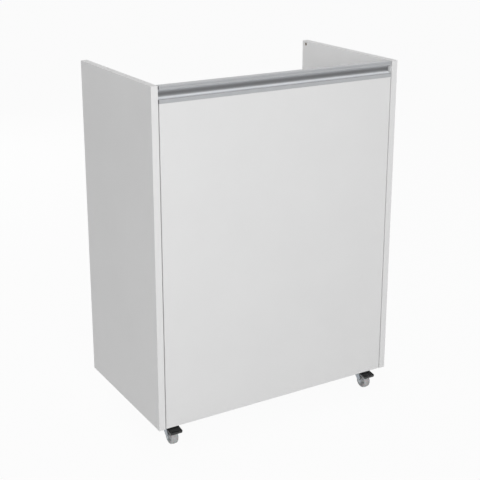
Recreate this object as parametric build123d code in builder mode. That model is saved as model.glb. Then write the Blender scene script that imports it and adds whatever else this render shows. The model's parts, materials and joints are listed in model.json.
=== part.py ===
from build123d import *
import math
import os

# Rolling cabinet: two sides, a bottom, an open top, one inset door with an
# aluminium finger-pull profile along its top edge, and four swivel castors.
# Millimetres, +Z up. The origin is on the floor under the centre of the box.
# The front faces -Y, and the door is hinged on the right (+X).

os.makedirs("parts", exist_ok=True)

# ---------------------------------------------------------------- carcass
width = 600.0                # across the outer faces of the two sides
depth = 350.0                # door face to the back edges of the sides
side_height = 740.0          # bottom edge to top edge of a side
board = 15.0                 # melamine board of the sides, bottom, rail, shelf and door
edge_ease = 0.4              # bevel that takes the sharpness off a board's edges

back_board = 3.0             # hardboard back
back_recess = 15.0           # back edges of the sides to the rear face of the back
groove_depth = 5.0           # groove in each side that holds the back
groove_clearance = 0.1       # on each face of the back inside its groove
back_side_clearance = 0.5    # from the back's edges to the ends of the grooves
rail_top_drop = 100.0        # top of the rear rail below the top of the sides
back_top_drop = 104.0        # top of the back below the top of the sides
rail_height = 70.0

# ---------------------------------------------------------------- shelf
shelf_clearance = 1.0        # from the ends of the shelf to the sides
shelf_setback = 12.0         # front edge of the shelf behind the front of the bottom
shelf_level = 350.0          # height of the middle row of pin holes above the underside
pin_pitch = 32.0             # spacing of the rows of pin holes
pin_row_count = 5
pin_radius = 2.5
pin_hole_depth = 9.0
pin_plug = 8.0               # length of a pin inside its hole
pin_flange_radius = 4.0
pin_flange = 0.8
pin_peg = 7.0                # length of a pin under the shelf
rear_pin_setback = 65.0      # rear column of pin holes in front of the back edges

# ---------------------------------------------------------------- door
door_gap = 2.0               # between each edge of the door and the side beside it
door_reveal = 1.0            # the door stops this short of the sides, top and bottom
swing_clearance = 0.5        # turning back corner of the door to the front of the bottom

# Finger-pull profile: a hollow extrusion as thick as the door
profile_height = 35.0
profile_wall = 1.5
profile_back_wall = 1.8
upper_lip = 7.5              # flat front face above the groove
lower_lip = 8.0              # flat front face below the groove
groove_pull_depth = 11.0     # depth of the round finger groove
fin = 1.5                    # fin that holds the profile in a slot in the door
fin_length = 12.0
fin_clearance = 0.05         # on each face of the fin
fin_tip_clearance = 0.5

# ---------------------------------------------------------------- fasteners
fastener_clearance = 0.05    # radial, in every bolt, dowel, pin and screw hole
wood_screw_radius = 1.75
wood_screw_length = 12.0
screw_hole_room = 1.0        # from the tip of a castor screw or a tack to the end of its hole
pan_head_radius = 3.3
pan_head_height = 1.8
cam_radius = 7.5
cam_height = 12.5
cam_recess = 0.2             # cam face below the face of its board
cam_setback = 24.0           # cam centre from the end of its board
cam_slot = 7.6               # opening in the cam for the bolt's head
cam_cross_length = 7.5       # driver cross in the cam's face
cam_cross_width = 1.5
cam_cross_depth = 1.5
bolt_thread_radius = 2.5
bolt_thread_length = 10.5
bolt_shank_radius = 2.4
bolt_head_radius = 3.3
bolt_head_length = 3.0
joint_spacing = 32.0         # dowel from the cam bolt beside it, in the bottom
rail_joint_spacing = 20.0    # dowels above and below the cam bolt, in the rail
bottom_cam_offset = 80.0     # cams in the bottom, either side of the middle of the depth
dowel_radius = 4.0
dowel_in_side = 11.0
dowel_in_board = 19.0
dowel_end_clearance = 0.5
tack_radius = 0.8            # tacks that hold the back
tack_length = 13.0
tack_head_radius = 2.5
tack_head_height = 0.8
tack_count = 5               # in each of the two rows
tack_inset = 45.0            # end tacks from the ends of the bottom and the rail

# Holes left in the tops of the sides for a loose rail or worktop
top_hole_radius = 4.0
top_hole_depth = 12.0
top_hole_drop = 7.75         # below the top edge
top_hole_setback = 14.0      # in front of the back edge

# ---------------------------------------------------------------- hinges
lower_hinge_level = 100.0    # middle of the lower hinge above the underside
upper_hinge_drop = 94.0      # middle of the upper hinge below the top of the door's board
corner_clearance = 0.5       # front corner of the turning door to the side
pivot_depth = 7.0            # pivot behind the door's face
cup_radius = 17.5
cup_depth = 11.5
cup_wall = 0.8
cup_edge = 3.5               # board left between the cup and the door's edge
cup_flange = 1.2
cup_rim = 1.0                # flange round the cup
hinge_corner = 3.0           # corner radius of the flange and of the mounting plate
cup_flange_half_width = 9.0
cup_flange_half_length = 27.0
cup_screw_offset = 22.5
cup_screw_length = 10.0
lug = 1.2                    # pair of lugs in the cup that carry the pin
lug_radius = 2.4
lug_clearance = 0.4          # between the arm and each lug
hinge_pin_radius = 1.2
arm_half_width = 5.0
arm_sheet = 1.6
arm_exit_angle = 155.0       # direction in which the arm leaves the pivot
arm_swing_clearance = 1.0    # between the arm and the turning corner of the door
arm_stand = 9.0              # middle of the arm's web from the side
arm_end = 18.0               # arm beyond the middle of its plate
plate_setback = 52.0         # middle of the mounting plate behind the door's face
plate_sheet = 2.0
plate_half_width = 12.0
plate_half_length = 26.0
plate_screw_offset = 16.0
rib_clearance = 0.3          # mounting plate's rib inside the arm
arm_screw_radius = 2.0
arm_screw_head_radius = 3.2
arm_screw_head_height = 1.5

# ---------------------------------------------------------------- magnetic catch
catch_drop = 54.0            # middle of the catch below the top of the door's board
catch_width = 14.0           # from the side towards the middle
catch_depth = 20.0
catch_half_height = 14.0
catch_ear = 9.0
catch_ear_sheet = 3.0
catch_ear_width = 12.0
catch_corner = 3.0
magnet_gap = 0.3             # magnet to strike plate with the door closed
magnet_width = 9.0
magnet_depth = 12.0
magnet_half_height = 11.0
magnet_clearance = 0.05
strike_sheet = 1.0
strike_width = 12.0
strike_half_height = 22.0
strike_inset = 1.0           # strike plate from the door's edge
strike_corner = 2.0
catch_screw_radius = 1.5
catch_screw_length = 10.0
catch_head_radius = 2.8
catch_head_height = 1.4
stop_level = 60.0            # middle of the lower stop block above the underside
stop_half_height = 10.0

# ---------------------------------------------------------------- castors
front_castor_inset = 42.0    # swivel axis from the outer face of the side
rear_castor_inset = 58.0
castor_setback = 46.0        # swivel axis from the front and the back of the box
wheel_radius = 17.5
tyre_half_width = 8.5
tyre_thickness = 5.5
tyre_shoulder = 4.0
rim_thickness = 2.0
rim_half_width = 7.0
web_half_width = 2.5
hub_radius = 5.5
hub_half_width = 9.2
hub_side_clearance = 0.4     # hub to fork, each side
axle_radius = 2.5
axle_clearance = 0.1         # radial, in the hub
rivet_head_radius = 4.5
rivet_head = 1.4
trail = 21.0                 # axle in front of the swivel axis
crown_clearance = 7.2        # top of the wheel to the fork's crown
fork_sheet = 1.8
fork_bend = 3.0              # outer radius of the fork's bends
fork_boss = 5.5              # radius of the fork's end round the axle
fork_front = 13.0            # crown in front of the swivel axis
fork_rear = 11.0             # crown behind the swivel axis
fork_shoulder = 3.8          # upright edge of the cheeks under the crown's top
crown_radius = 16.0
race_gap = 6.0               # crown to top plate
ball_radius = 1.5
ball_circle = 10.5
ball_count = 8
ball_seat = 0.4              # depth to which a ball sits in each race
ball_clearance = 0.05
skirt_radius = 16.5
skirt_gap = 0.6              # skirt to crown
race_bore = 6.0
plate_side = 38.0
plate_corner = 3.0
plate_thickness = 2.0
plate_hole_offset = 14.5
plate_hole_radius = 2.1
kingpin_radius = 3.0
kingpin_clearance = 0.1      # radial, in the crown
kingpin_head_radius = 5.5
kingpin_head = 1.6
kingpin_top_radius = 4.5
kingpin_top = 1.5
kingpin_end_play = 0.1       # kingpin's head to the crown
pedal_width = 29.0
pedal_length = 27.0          # along its slope
pedal_heel = 18.0            # rear edge of the pedal in front of the swivel axis
pedal_slope = 8.0            # degrees that the pedal falls towards its tip
pedal_thickness = 3.5
pedal_rise = 3.0             # released pedal above the wheel
pedal_corner = 2.5
pedal_lip = 2.5
pedal_rib = 0.6
pedal_rib_width = 1.6
pedal_rib_corner = 0.7
pedal_rib_pitch = 3.2
pedal_rib_count = 4
pedal_pin_offset = 7.0       # pedal's pivot in front of the swivel axis
pedal_pin_drop = 0.5         # pedal's pivot below the underside of its rear edge
pedal_pin_radius = 1.5
pedal_pin_head_radius = 2.5
pedal_pin_head = 0.7
pedal_pin_clearance = 0.1
lever_eye_radius = 3.0
lever_sheet = 2.0
lever_engagement = 14.0      # length of the lever inside the pedal's pocket
lever_side_clearance = 0.7   # lever to the fork, each side
lever_pocket_clearance = 0.05

# ---------------------------------------------------------------- derived places
outer_x = width / 2
inner_x = outer_x - board
front_y = -depth / 2
rear_y = depth / 2

crown_under_z = 2 * wheel_radius + crown_clearance
crown_z = crown_under_z + fork_sheet
plate_under_z = crown_z + race_gap
base_z = plate_under_z + plate_thickness
top_z = base_z + side_height

door_back_y = front_y + board
back_front_y = rear_y - back_recess - back_board
back_rear_y = rear_y - back_recess
back_top_z = top_z - back_top_drop
rail_top_z = top_z - rail_top_drop
rail_front_y = back_front_y - board
rail_middle_z = rail_top_z - rail_height / 2

door_half_width = inner_x - door_gap
door_bottom_z = base_z + door_reveal
door_top_z = top_z - door_reveal
panel_top_z = door_top_z - profile_height

front_pin_y = front_y + plate_setback
rear_pin_y = rear_y - rear_pin_setback
middle_pin_z = base_z + shelf_level
shelf_z = middle_pin_z + pin_radius

# The front corner of the door turns on a circle that just clears the side.
corner_room = door_gap - corner_clearance
pivot_edge = (pivot_depth**2 - corner_room**2) / (2 * corner_room)
pivot_x = door_half_width - pivot_edge
pivot_y = front_y + pivot_depth
cup_x = door_half_width - cup_edge - cup_radius
hinge_zs = [base_z + lower_hinge_level, panel_top_z - upper_hinge_drop]
# The arm bends round the circle that the back corner of the door turns on.
back_corner_radius = math.hypot(pivot_edge, board - pivot_depth)
carcass_front_y = pivot_y + back_corner_radius + swing_clearance
arm_bend_radius = back_corner_radius + arm_swing_clearance + arm_sheet / 2
arm_web_x = inner_x - arm_stand
lug_half_width = arm_half_width + lug_clearance + lug

catch_z = panel_top_z - catch_drop
stop_z = base_z + stop_level
strike_y = door_back_y + strike_sheet
catch_front_y = strike_y + magnet_gap
strike_x = -door_half_width + strike_inset + strike_width / 2


def save(builder, name):
    """Label a finished piece and write it as a STEP file of the same name."""
    builder.part.label = name
    export_step(builder.part, f"parts/{name}.step")


def facing_front(y):
    """Upright plane at y: local X along +X, local Y along +Z, normal towards -Y."""
    return Plane(origin=(0, y, 0), x_dir=(1, 0, 0), z_dir=(0, -1, 0))


def facing_side(x):
    """Upright plane at x: local X along +Y, local Y along +Z, normal towards +X."""
    return Plane.YZ.offset(x)


# Places where one board is joined to a side, and the fasteners of each joint.
# A cam seat's plane lies at the mouth of the cam's pocket: its normal points
# into the board and its local X points at the side.
bottom_seats = []
rail_seats = []
bottom_dowels = []
rail_dowels = []
for sign in (-1, 1):
    seat_x = sign * (inner_x - cam_setback)
    for end in (-1, 1):
        seat_y = end * bottom_cam_offset
        bottom_seats.append(Plane(origin=(seat_x, seat_y, base_z), x_dir=(sign, 0, 0), z_dir=(0, 0, 1)))
        bottom_dowels.append((sign, seat_y - end * joint_spacing, base_z + board / 2))
        rail_dowels.append((sign, rail_front_y + board / 2, rail_middle_z + end * rail_joint_spacing))
    rail_origin = (seat_x, rail_front_y, rail_middle_z)
    rail_seats.append(Plane(origin=rail_origin, x_dir=(sign, 0, 0), z_dir=(0, 1, 0)))
cam_seats = bottom_seats + rail_seats
dowel_places = bottom_dowels + rail_dowels


def bolt_plane(seat, distance):
    """Plane across a cam bolt's axis, at a distance from the cam's centre towards the side."""
    middle = seat.origin + seat.z_dir * (board / 2) + seat.x_dir * distance
    return Plane(origin=middle, z_dir=seat.x_dir)


def cut_round(plane, radius, length):
    """Cut a round hole from a plane along its normal."""
    with BuildSketch(plane) as outline:
        Circle(radius)
    extrude(outline.sketch, amount=length, mode=Mode.SUBTRACT)


def add_round(plane, radius, length):
    """Add a round bar from a plane along its normal."""
    with BuildSketch(plane) as outline:
        Circle(radius)
    extrude(outline.sketch, amount=length)


def cut_joint_holes(seats, dowels):
    """Cut cam pockets, bolt holes and dowel holes into the board being built."""
    for seat in seats:
        cut_round(seat, cam_radius + fastener_clearance, cam_height + 2 * cam_recess)
        cut_round(bolt_plane(seat, 0), bolt_head_radius + fastener_clearance, cam_setback)
    for sign, y, z in dowels:
        hole = Plane(origin=(sign * inner_x, y, z), z_dir=(-sign, 0, 0))
        cut_round(hole, dowel_radius + fastener_clearance, dowel_in_board + dowel_end_clearance)


# ---------------------------------------------------------------- sides
pin_rows = [middle_pin_z + (row - (pin_row_count - 1) / 2) * pin_pitch for row in range(pin_row_count)]
side_pin_holes = [(y, z) for y in (front_pin_y, rear_pin_y) for z in pin_rows]
hinge_screw_places = [(front_pin_y, z + end * plate_screw_offset) for z in hinge_zs for end in (-1, 1)]
catch_screw_z = catch_half_height + catch_ear / 2
catch_middle_y = catch_front_y + catch_depth / 2
stop_screw_z = stop_half_height + catch_ear / 2
catch_screw_places = [(catch_middle_y, catch_z + end * catch_screw_z) for end in (-1, 1)]
catch_screw_places += [(catch_middle_y, stop_z + end * stop_screw_z) for end in (-1, 1)]


def side_panel(sign, screw_places, screw_radius, screw_depth):
    """Side board with its drilling; sign is -1 for the left side and +1 for the right."""
    inner_face = facing_side(sign * inner_x)
    into_side = Plane(origin=(sign * inner_x, 0, 0), z_dir=(sign, 0, 0))
    with BuildPart() as side:
        with BuildSketch(inner_face):
            with Locations((0, (base_z + top_z) / 2)):
                Rectangle(depth, side_height)
        extrude(amount=sign * board)
        chamfer(side.edges(), edge_ease)
        with BuildSketch(inner_face):
            with Locations(*side_pin_holes):
                Circle(pin_radius + fastener_clearance)
        extrude(amount=sign * pin_hole_depth, mode=Mode.SUBTRACT)
        with BuildSketch(inner_face):
            with Locations(*screw_places):
                Circle(screw_radius + fastener_clearance)
        extrude(amount=sign * screw_depth, mode=Mode.SUBTRACT)
        with BuildSketch(inner_face):
            with Locations((rear_y - top_hole_setback, top_z - top_hole_drop)):
                Circle(top_hole_radius)
        extrude(amount=sign * top_hole_depth, mode=Mode.SUBTRACT)
        for seat in cam_seats:
            if seat.x_dir.X == sign:
                thread = bolt_plane(seat, cam_setback)
                cut_round(thread, bolt_thread_radius + fastener_clearance, bolt_thread_length + cam_recess)
        for place_sign, y, z in dowel_places:
            if place_sign == sign:
                hole = Plane(origin=(sign * inner_x, y, z), z_dir=into_side.z_dir)
                cut_round(hole, dowel_radius + fastener_clearance, dowel_in_side + dowel_end_clearance)
        groove_width = back_board + 2 * groove_clearance
        with BuildSketch(inner_face):
            with Locations((back_front_y - groove_clearance, back_top_z + back_side_clearance)):
                Rectangle(groove_width, back_top_z, align=(Align.MIN, Align.MAX))
        extrude(amount=sign * groove_depth, mode=Mode.SUBTRACT)
    return side


side_left = side_panel(-1, catch_screw_places, catch_screw_radius, catch_screw_length)
save(side_left, "side_left")
side_right = side_panel(1, hinge_screw_places, wood_screw_radius, wood_screw_length)
save(side_right, "side_right")

# ---------------------------------------------------------------- bottom, rail, back
castor_places = {
    "front_left": (-(outer_x - front_castor_inset), front_y + castor_setback),
    "front_right": (outer_x - front_castor_inset, front_y + castor_setback),
    "rear_left": (-(outer_x - rear_castor_inset), rear_y - castor_setback),
    "rear_right": (outer_x - rear_castor_inset, rear_y - castor_setback),
}
plate_hole_offsets = [(dx, dy) for dx in (-plate_hole_offset, plate_hole_offset)
                      for dy in (-plate_hole_offset, plate_hole_offset)]
castor_screw_places = [(x + dx, y + dy) for x, y in castor_places.values() for dx, dy in plate_hole_offsets]
castor_screw_depth = wood_screw_length - plate_thickness + screw_hole_room
tack_step = 2 * (inner_x - tack_inset) / (tack_count - 1)
tack_xs = [-inner_x + tack_inset + index * tack_step for index in range(tack_count)]
bottom_middle_z = base_z + board / 2

with BuildPart() as bottom_panel:
    with BuildSketch(Plane.XY.offset(base_z)):
        with Locations((0, (carcass_front_y + back_front_y) / 2)):
            Rectangle(2 * inner_x, back_front_y - carcass_front_y)
    extrude(amount=board)
    chamfer(bottom_panel.edges(), edge_ease)
    cut_joint_holes(bottom_seats, bottom_dowels)
    with BuildSketch(Plane.XY.offset(base_z)):
        with Locations(*castor_screw_places):
            Circle(wood_screw_radius + fastener_clearance)
    extrude(amount=castor_screw_depth, mode=Mode.SUBTRACT)
    with BuildSketch(facing_front(back_front_y)):
        with Locations(*[(x, bottom_middle_z) for x in tack_xs]):
            Circle(tack_radius + fastener_clearance)
    extrude(amount=tack_length, mode=Mode.SUBTRACT)
save(bottom_panel, "bottom_panel")

with BuildPart() as rear_rail:
    with BuildSketch(facing_front(back_front_y)):
        with Locations((0, rail_middle_z)):
            Rectangle(2 * inner_x, rail_height)
    extrude(amount=board)
    chamfer(rear_rail.edges(), edge_ease)
    cut_joint_holes(rail_seats, rail_dowels)
    with BuildSketch(facing_front(back_front_y)):
        with Locations(*[(x, rail_middle_z) for x in tack_xs]):
            Circle(tack_radius + fastener_clearance)
    extrude(amount=tack_length, mode=Mode.SUBTRACT)
save(rear_rail, "rear_rail")

tack_places = [(x, z) for z in (bottom_middle_z, rail_middle_z) for x in tack_xs]
back_bottom_z = base_z + door_reveal
with BuildPart() as back_panel:
    with BuildSketch(facing_front(back_rear_y)):
        with Locations((0, (back_bottom_z + back_top_z) / 2)):
            Rectangle(2 * (inner_x + groove_depth - back_side_clearance), back_top_z - back_bottom_z)
    extrude(amount=back_board)
    with BuildSketch(facing_front(back_rear_y)):
        with Locations(*tack_places):
            Circle(tack_radius + fastener_clearance)
    extrude(amount=back_board, mode=Mode.SUBTRACT)
save(back_panel, "back_panel")

with BuildPart() as back_tacks:
    with BuildSketch(facing_front(back_rear_y)):
        with Locations(*tack_places):
            Circle(tack_radius)
    extrude(amount=back_board + tack_length - screw_hole_room)
    with BuildSketch(facing_front(back_rear_y + tack_head_height)):
        with Locations(*tack_places):
            Circle(tack_head_radius)
    extrude(amount=tack_head_height)
save(back_tacks, "back_tacks")

# ---------------------------------------------------------------- joints of the boards
with BuildPart() as cam_locks:
    for seat in cam_seats:
        add_round(seat.offset(cam_recess), cam_radius, cam_height)
        with BuildSketch(bolt_plane(seat, -bolt_head_length)):
            Rectangle(cam_slot, cam_slot)
        extrude(amount=cam_radius + 2 * bolt_head_length, mode=Mode.SUBTRACT)
        with BuildSketch(seat.offset(cam_recess)):
            Rectangle(cam_cross_length, cam_cross_width)
            Rectangle(cam_cross_width, cam_cross_length)
        extrude(amount=cam_cross_depth, mode=Mode.SUBTRACT)
save(cam_locks, "cam_locks")

with BuildPart() as cam_bolts:
    for seat in cam_seats:
        add_round(bolt_plane(seat, -bolt_head_length / 2), bolt_head_radius, bolt_head_length)
        add_round(bolt_plane(seat, 0), bolt_shank_radius, cam_setback)
        add_round(bolt_plane(seat, cam_setback), bolt_thread_radius, bolt_thread_length)
save(cam_bolts, "cam_bolts")

with BuildPart() as dowels:
    for sign, y, z in dowel_places:
        end_plane = Plane(origin=(sign * (inner_x - dowel_in_board), y, z), z_dir=(sign, 0, 0))
        add_round(end_plane, dowel_radius, dowel_in_board + dowel_in_side)
save(dowels, "dowels")

# ---------------------------------------------------------------- shelf
with BuildPart() as shelf:
    shelf_front_y = carcass_front_y + shelf_setback
    shelf_rear_y = back_front_y - shelf_clearance
    with BuildSketch(Plane.XY.offset(shelf_z)):
        with Locations((0, (shelf_front_y + shelf_rear_y) / 2)):
            Rectangle(2 * (inner_x - shelf_clearance), shelf_rear_y - shelf_front_y)
    extrude(amount=board)
    chamfer(shelf.edges(), edge_ease)
save(shelf, "shelf")

with BuildPart() as shelf_pins:
    for sign in (-1, 1):
        for y in (front_pin_y, rear_pin_y):
            hole_mouth = Plane(origin=(sign * inner_x, y, middle_pin_z), z_dir=(sign, 0, 0))
            add_round(hole_mouth, pin_radius, pin_plug)
            add_round(hole_mouth.offset(-pin_flange), pin_flange_radius, pin_flange)
            add_round(hole_mouth.offset(-pin_flange - pin_peg), pin_radius, pin_peg)
save(shelf_pins, "shelf_pins")

# ---------------------------------------------------------------- door
slot_width = fin + 2 * fin_clearance
slot_depth = fin_length + fin_tip_clearance
cup_centres = [(cup_x, z) for z in hinge_zs]
cup_screw_places = [(cup_x, z + end * cup_screw_offset) for z in hinge_zs for end in (-1, 1)]
strike_screw_places = [(strike_x, catch_z + end * catch_screw_z) for end in (-1, 1)]

with BuildPart() as door_panel:
    with BuildSketch(facing_front(door_back_y)):
        with Locations((0, (door_bottom_z + panel_top_z) / 2)):
            Rectangle(2 * door_half_width, panel_top_z - door_bottom_z)
    extrude(amount=board)
    chamfer(door_panel.edges(), edge_ease)
    with BuildSketch(Plane.XY.offset(panel_top_z)):
        with Locations((0, (front_y + door_back_y) / 2)):
            Rectangle(2 * door_half_width, slot_width)
    extrude(amount=-slot_depth, mode=Mode.SUBTRACT)
    with BuildSketch(facing_front(door_back_y)):
        with Locations(*cup_centres):
            Circle(cup_radius + fastener_clearance)
    extrude(amount=cup_depth + fastener_clearance, mode=Mode.SUBTRACT)
    with BuildSketch(facing_front(door_back_y)):
        with Locations(*cup_screw_places):
            Circle(wood_screw_radius + fastener_clearance)
    extrude(amount=cup_screw_length, mode=Mode.SUBTRACT)
    with BuildSketch(facing_front(door_back_y)):
        with Locations(*strike_screw_places):
            Circle(catch_screw_radius + fastener_clearance)
    extrude(amount=catch_screw_length, mode=Mode.SUBTRACT)
save(door_panel, "door_panel")

# The groove is an arc through the edges of both lips and its deepest point.
groove_half_height = (profile_height - upper_lip - lower_lip) / 2
groove_radius = (groove_half_height**2 + groove_pull_depth**2) / (2 * groove_pull_depth)
groove_centre_y = front_y + groove_pull_depth - groove_radius
groove_middle_z = door_top_z - upper_lip - groove_half_height

with BuildPart() as handle_profile:
    with BuildSketch(facing_side(-door_half_width)) as section:
        with Locations((front_y, door_top_z)):
            Rectangle(board, profile_height, align=(Align.MIN, Align.MAX))
        chamfer(section.vertices().group_by(Axis.Y)[-1], edge_ease)
        with Locations((front_y + profile_wall, groove_middle_z)):
            hollow_depth = board - profile_wall - profile_back_wall
            hollow_height = profile_height - 2 * profile_wall
            Rectangle(hollow_depth, hollow_height, align=(Align.MIN, Align.CENTER), mode=Mode.SUBTRACT)
        with Locations((groove_centre_y, groove_middle_z)):
            Circle(groove_radius + profile_wall)
        with Locations((front_y, groove_middle_z)):
            in_front = (2 * groove_radius, 2 * profile_height)
            Rectangle(*in_front, align=(Align.MAX, Align.CENTER), mode=Mode.SUBTRACT)
        with Locations((groove_centre_y, groove_middle_z)):
            Circle(groove_radius, mode=Mode.SUBTRACT)
        with Locations((front_y + board / 2, panel_top_z)):
            Rectangle(fin, fin_length, align=(Align.CENTER, Align.MAX))
    extrude(amount=2 * door_half_width)
save(handle_profile, "handle_profile")

# ---------------------------------------------------------------- hinges
cup_floor_y = door_back_y - cup_depth
flange_y = door_back_y + cup_flange
exit_direction = (math.cos(math.radians(arm_exit_angle)), math.sin(math.radians(arm_exit_angle)))
exit_point = (pivot_x + arm_bend_radius * exit_direction[0], pivot_y + arm_bend_radius * exit_direction[1])
bend_end = (pivot_x, pivot_y + arm_bend_radius)
web_corner = (arm_web_x, pivot_y + arm_bend_radius)
arm_end_y = front_pin_y + arm_end
channel_front_y = pivot_y + arm_bend_radius + arm_sheet
channel_half_width = arm_half_width + arm_sheet
plate_face_x = inner_x - plate_sheet


def hinge_cup(z):
    """Pressed cup with a flange on the door's back and two lugs for the pin."""
    with BuildPart() as cup:
        with BuildSketch(facing_front(door_back_y)):
            with Locations((cup_x, z)):
                Circle(cup_radius)
        extrude(amount=cup_depth)
        with BuildSketch(facing_front(flange_y)):
            with Locations((cup_x, z)):
                Circle(cup_radius + cup_rim)
                RectangleRounded(2 * cup_flange_half_width, 2 * cup_flange_half_length, hinge_corner)
        extrude(amount=cup_flange)
        with BuildSketch(facing_front(flange_y)):
            with Locations((cup_x, z)):
                Circle(cup_radius - cup_wall)
        extrude(amount=cup_flange + cup_depth - cup_wall, mode=Mode.SUBTRACT)
        with BuildSketch(facing_front(flange_y)):
            with Locations(*[(cup_x, z + end * cup_screw_offset) for end in (-1, 1)]):
                Circle(wood_screw_radius + fastener_clearance)
        extrude(amount=cup_flange, mode=Mode.SUBTRACT)
        for lower in (z - lug_half_width, z + lug_half_width - lug):
            with BuildSketch(Plane.XY.offset(lower)):
                with Locations((pivot_x, pivot_y)):
                    Circle(lug_radius)
                with Locations((pivot_x, cup_floor_y)):
                    Rectangle(2 * lug_radius, pivot_y - cup_floor_y, align=(Align.CENTER, Align.MIN))
            extrude(amount=lug)
        with BuildSketch(Plane.XY.offset(z - lug_half_width)):
            with Locations((pivot_x, pivot_y)):
                Circle(hinge_pin_radius)
        extrude(amount=2 * lug_half_width, mode=Mode.SUBTRACT)
    return cup


def hinge_pin(z):
    """Pin through both lugs and the eye of the arm."""
    with BuildPart() as pin:
        with BuildSketch(Plane.XY.offset(z - lug_half_width)):
            with Locations((pivot_x, pivot_y)):
                Circle(hinge_pin_radius)
        extrude(amount=2 * lug_half_width)
    return pin


def hinge_arm(z):
    """Cranked arm: an eye on the pin, a bend round the door's corner and a channel on the side."""
    with BuildPart() as arm:
        with BuildSketch(Plane.XY.offset(z - arm_half_width)):
            with BuildLine():
                Line((pivot_x, pivot_y), exit_point)
                CenterArc((pivot_x, pivot_y), arm_bend_radius, arm_exit_angle, 90 - arm_exit_angle)
                Line(bend_end, web_corner)
                Line(web_corner, (arm_web_x, arm_end_y))
            trace(line_width=arm_sheet)
            with Locations((pivot_x, pivot_y)):
                Circle(lug_radius)
                Circle(hinge_pin_radius + fastener_clearance, mode=Mode.SUBTRACT)
        extrude(amount=2 * arm_half_width)
        for lower in (z - channel_half_width, z + arm_half_width):
            with BuildSketch(Plane.XY.offset(lower)):
                with Locations((plate_face_x, channel_front_y)):
                    channel_depth = arm_stand + arm_sheet / 2 - plate_sheet
                    channel_length = arm_end_y - channel_front_y
                    Rectangle(channel_depth, channel_length, align=(Align.MAX, Align.MIN))
            extrude(amount=arm_sheet)
        with BuildSketch(facing_side(arm_web_x - arm_sheet)):
            with Locations((front_pin_y, z)):
                Circle(arm_screw_radius + fastener_clearance)
        extrude(amount=2 * arm_sheet, mode=Mode.SUBTRACT)
    return arm


rib_height = arm_stand - arm_sheet / 2 - plate_sheet - rib_clearance


def hinge_plate(z):
    """Mounting plate: two wings on the side and a rib that fills the arm's channel."""
    with BuildPart() as plate:
        with BuildSketch(facing_side(plate_face_x)):
            with Locations((front_pin_y, z)):
                RectangleRounded(2 * plate_half_width, 2 * plate_half_length, hinge_corner)
        extrude(amount=plate_sheet)
        with BuildSketch(facing_side(plate_face_x)):
            with Locations((front_pin_y, z)):
                Rectangle(2 * plate_half_width, 2 * (arm_half_width - rib_clearance))
        extrude(amount=-rib_height)
        with BuildSketch(facing_side(plate_face_x)):
            with Locations(*[(front_pin_y, z + end * plate_screw_offset) for end in (-1, 1)]):
                Circle(wood_screw_radius + fastener_clearance)
        extrude(amount=plate_sheet, mode=Mode.SUBTRACT)
        with BuildSketch(facing_side(plate_face_x - rib_height)):
            with Locations((front_pin_y, z)):
                Circle(arm_screw_radius + fastener_clearance)
        extrude(amount=rib_height, mode=Mode.SUBTRACT)
    return plate


for level_name, hinge_z in zip(("lower", "upper"), hinge_zs):
    save(hinge_cup(hinge_z), f"hinge_cup_{level_name}")
    save(hinge_pin(hinge_z), f"hinge_pin_{level_name}")
    save(hinge_arm(hinge_z), f"hinge_arm_{level_name}")
    save(hinge_plate(hinge_z), f"hinge_plate_{level_name}")

with BuildPart() as hinge_cup_screws:
    with BuildSketch(facing_front(flange_y + pan_head_height)):
        with Locations(*cup_screw_places):
            Circle(pan_head_radius)
    extrude(amount=pan_head_height)
    with BuildSketch(facing_front(flange_y)):
        with Locations(*cup_screw_places):
            Circle(wood_screw_radius)
    extrude(amount=cup_screw_length)
save(hinge_cup_screws, "hinge_cup_screws")

with BuildPart() as hinge_plate_screws:
    with BuildSketch(facing_side(plate_face_x - pan_head_height)):
        with Locations(*hinge_screw_places):
            Circle(pan_head_radius)
    extrude(amount=pan_head_height)
    with BuildSketch(facing_side(plate_face_x)):
        with Locations(*hinge_screw_places):
            Circle(wood_screw_radius)
    extrude(amount=wood_screw_length)
save(hinge_plate_screws, "hinge_plate_screws")

with BuildPart() as hinge_arm_screws:
    arm_outer_x = arm_web_x - arm_sheet / 2
    with BuildSketch(facing_side(arm_outer_x - arm_screw_head_height)):
        with Locations(*[(front_pin_y, z) for z in hinge_zs]):
            Circle(arm_screw_head_radius)
    extrude(amount=arm_screw_head_height)
    with BuildSketch(facing_side(arm_outer_x)):
        with Locations(*[(front_pin_y, z) for z in hinge_zs]):
            Circle(arm_screw_radius)
    extrude(amount=arm_sheet + rib_clearance + rib_height)
save(hinge_arm_screws, "hinge_arm_screws")

# ---------------------------------------------------------------- magnetic catch
catch_face = facing_side(-inner_x)

with BuildPart() as catch_housing:
    with BuildSketch(catch_face):
        with Locations((catch_middle_y, catch_z)):
            Rectangle(catch_depth, 2 * catch_half_height)
    extrude(amount=catch_width)
    with BuildSketch(catch_face):
        with Locations((catch_middle_y, catch_z)):
            RectangleRounded(catch_ear_width, 2 * (catch_half_height + catch_ear), catch_corner)
    extrude(amount=catch_ear_sheet)
    with BuildSketch(catch_face.offset((catch_width - magnet_width) / 2 - magnet_clearance)):
        with Locations((catch_front_y, catch_z)):
            pocket_depth = magnet_depth + magnet_clearance
            pocket_height = 2 * (magnet_half_height + magnet_clearance)
            Rectangle(pocket_depth, pocket_height, align=(Align.MIN, Align.CENTER))
    extrude(amount=magnet_width + 2 * magnet_clearance, mode=Mode.SUBTRACT)
    with BuildSketch(catch_face):
        with Locations(*catch_screw_places):
            Circle(catch_screw_radius + fastener_clearance)
    extrude(amount=catch_ear_sheet, mode=Mode.SUBTRACT)
save(catch_housing, "catch_housing")

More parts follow.
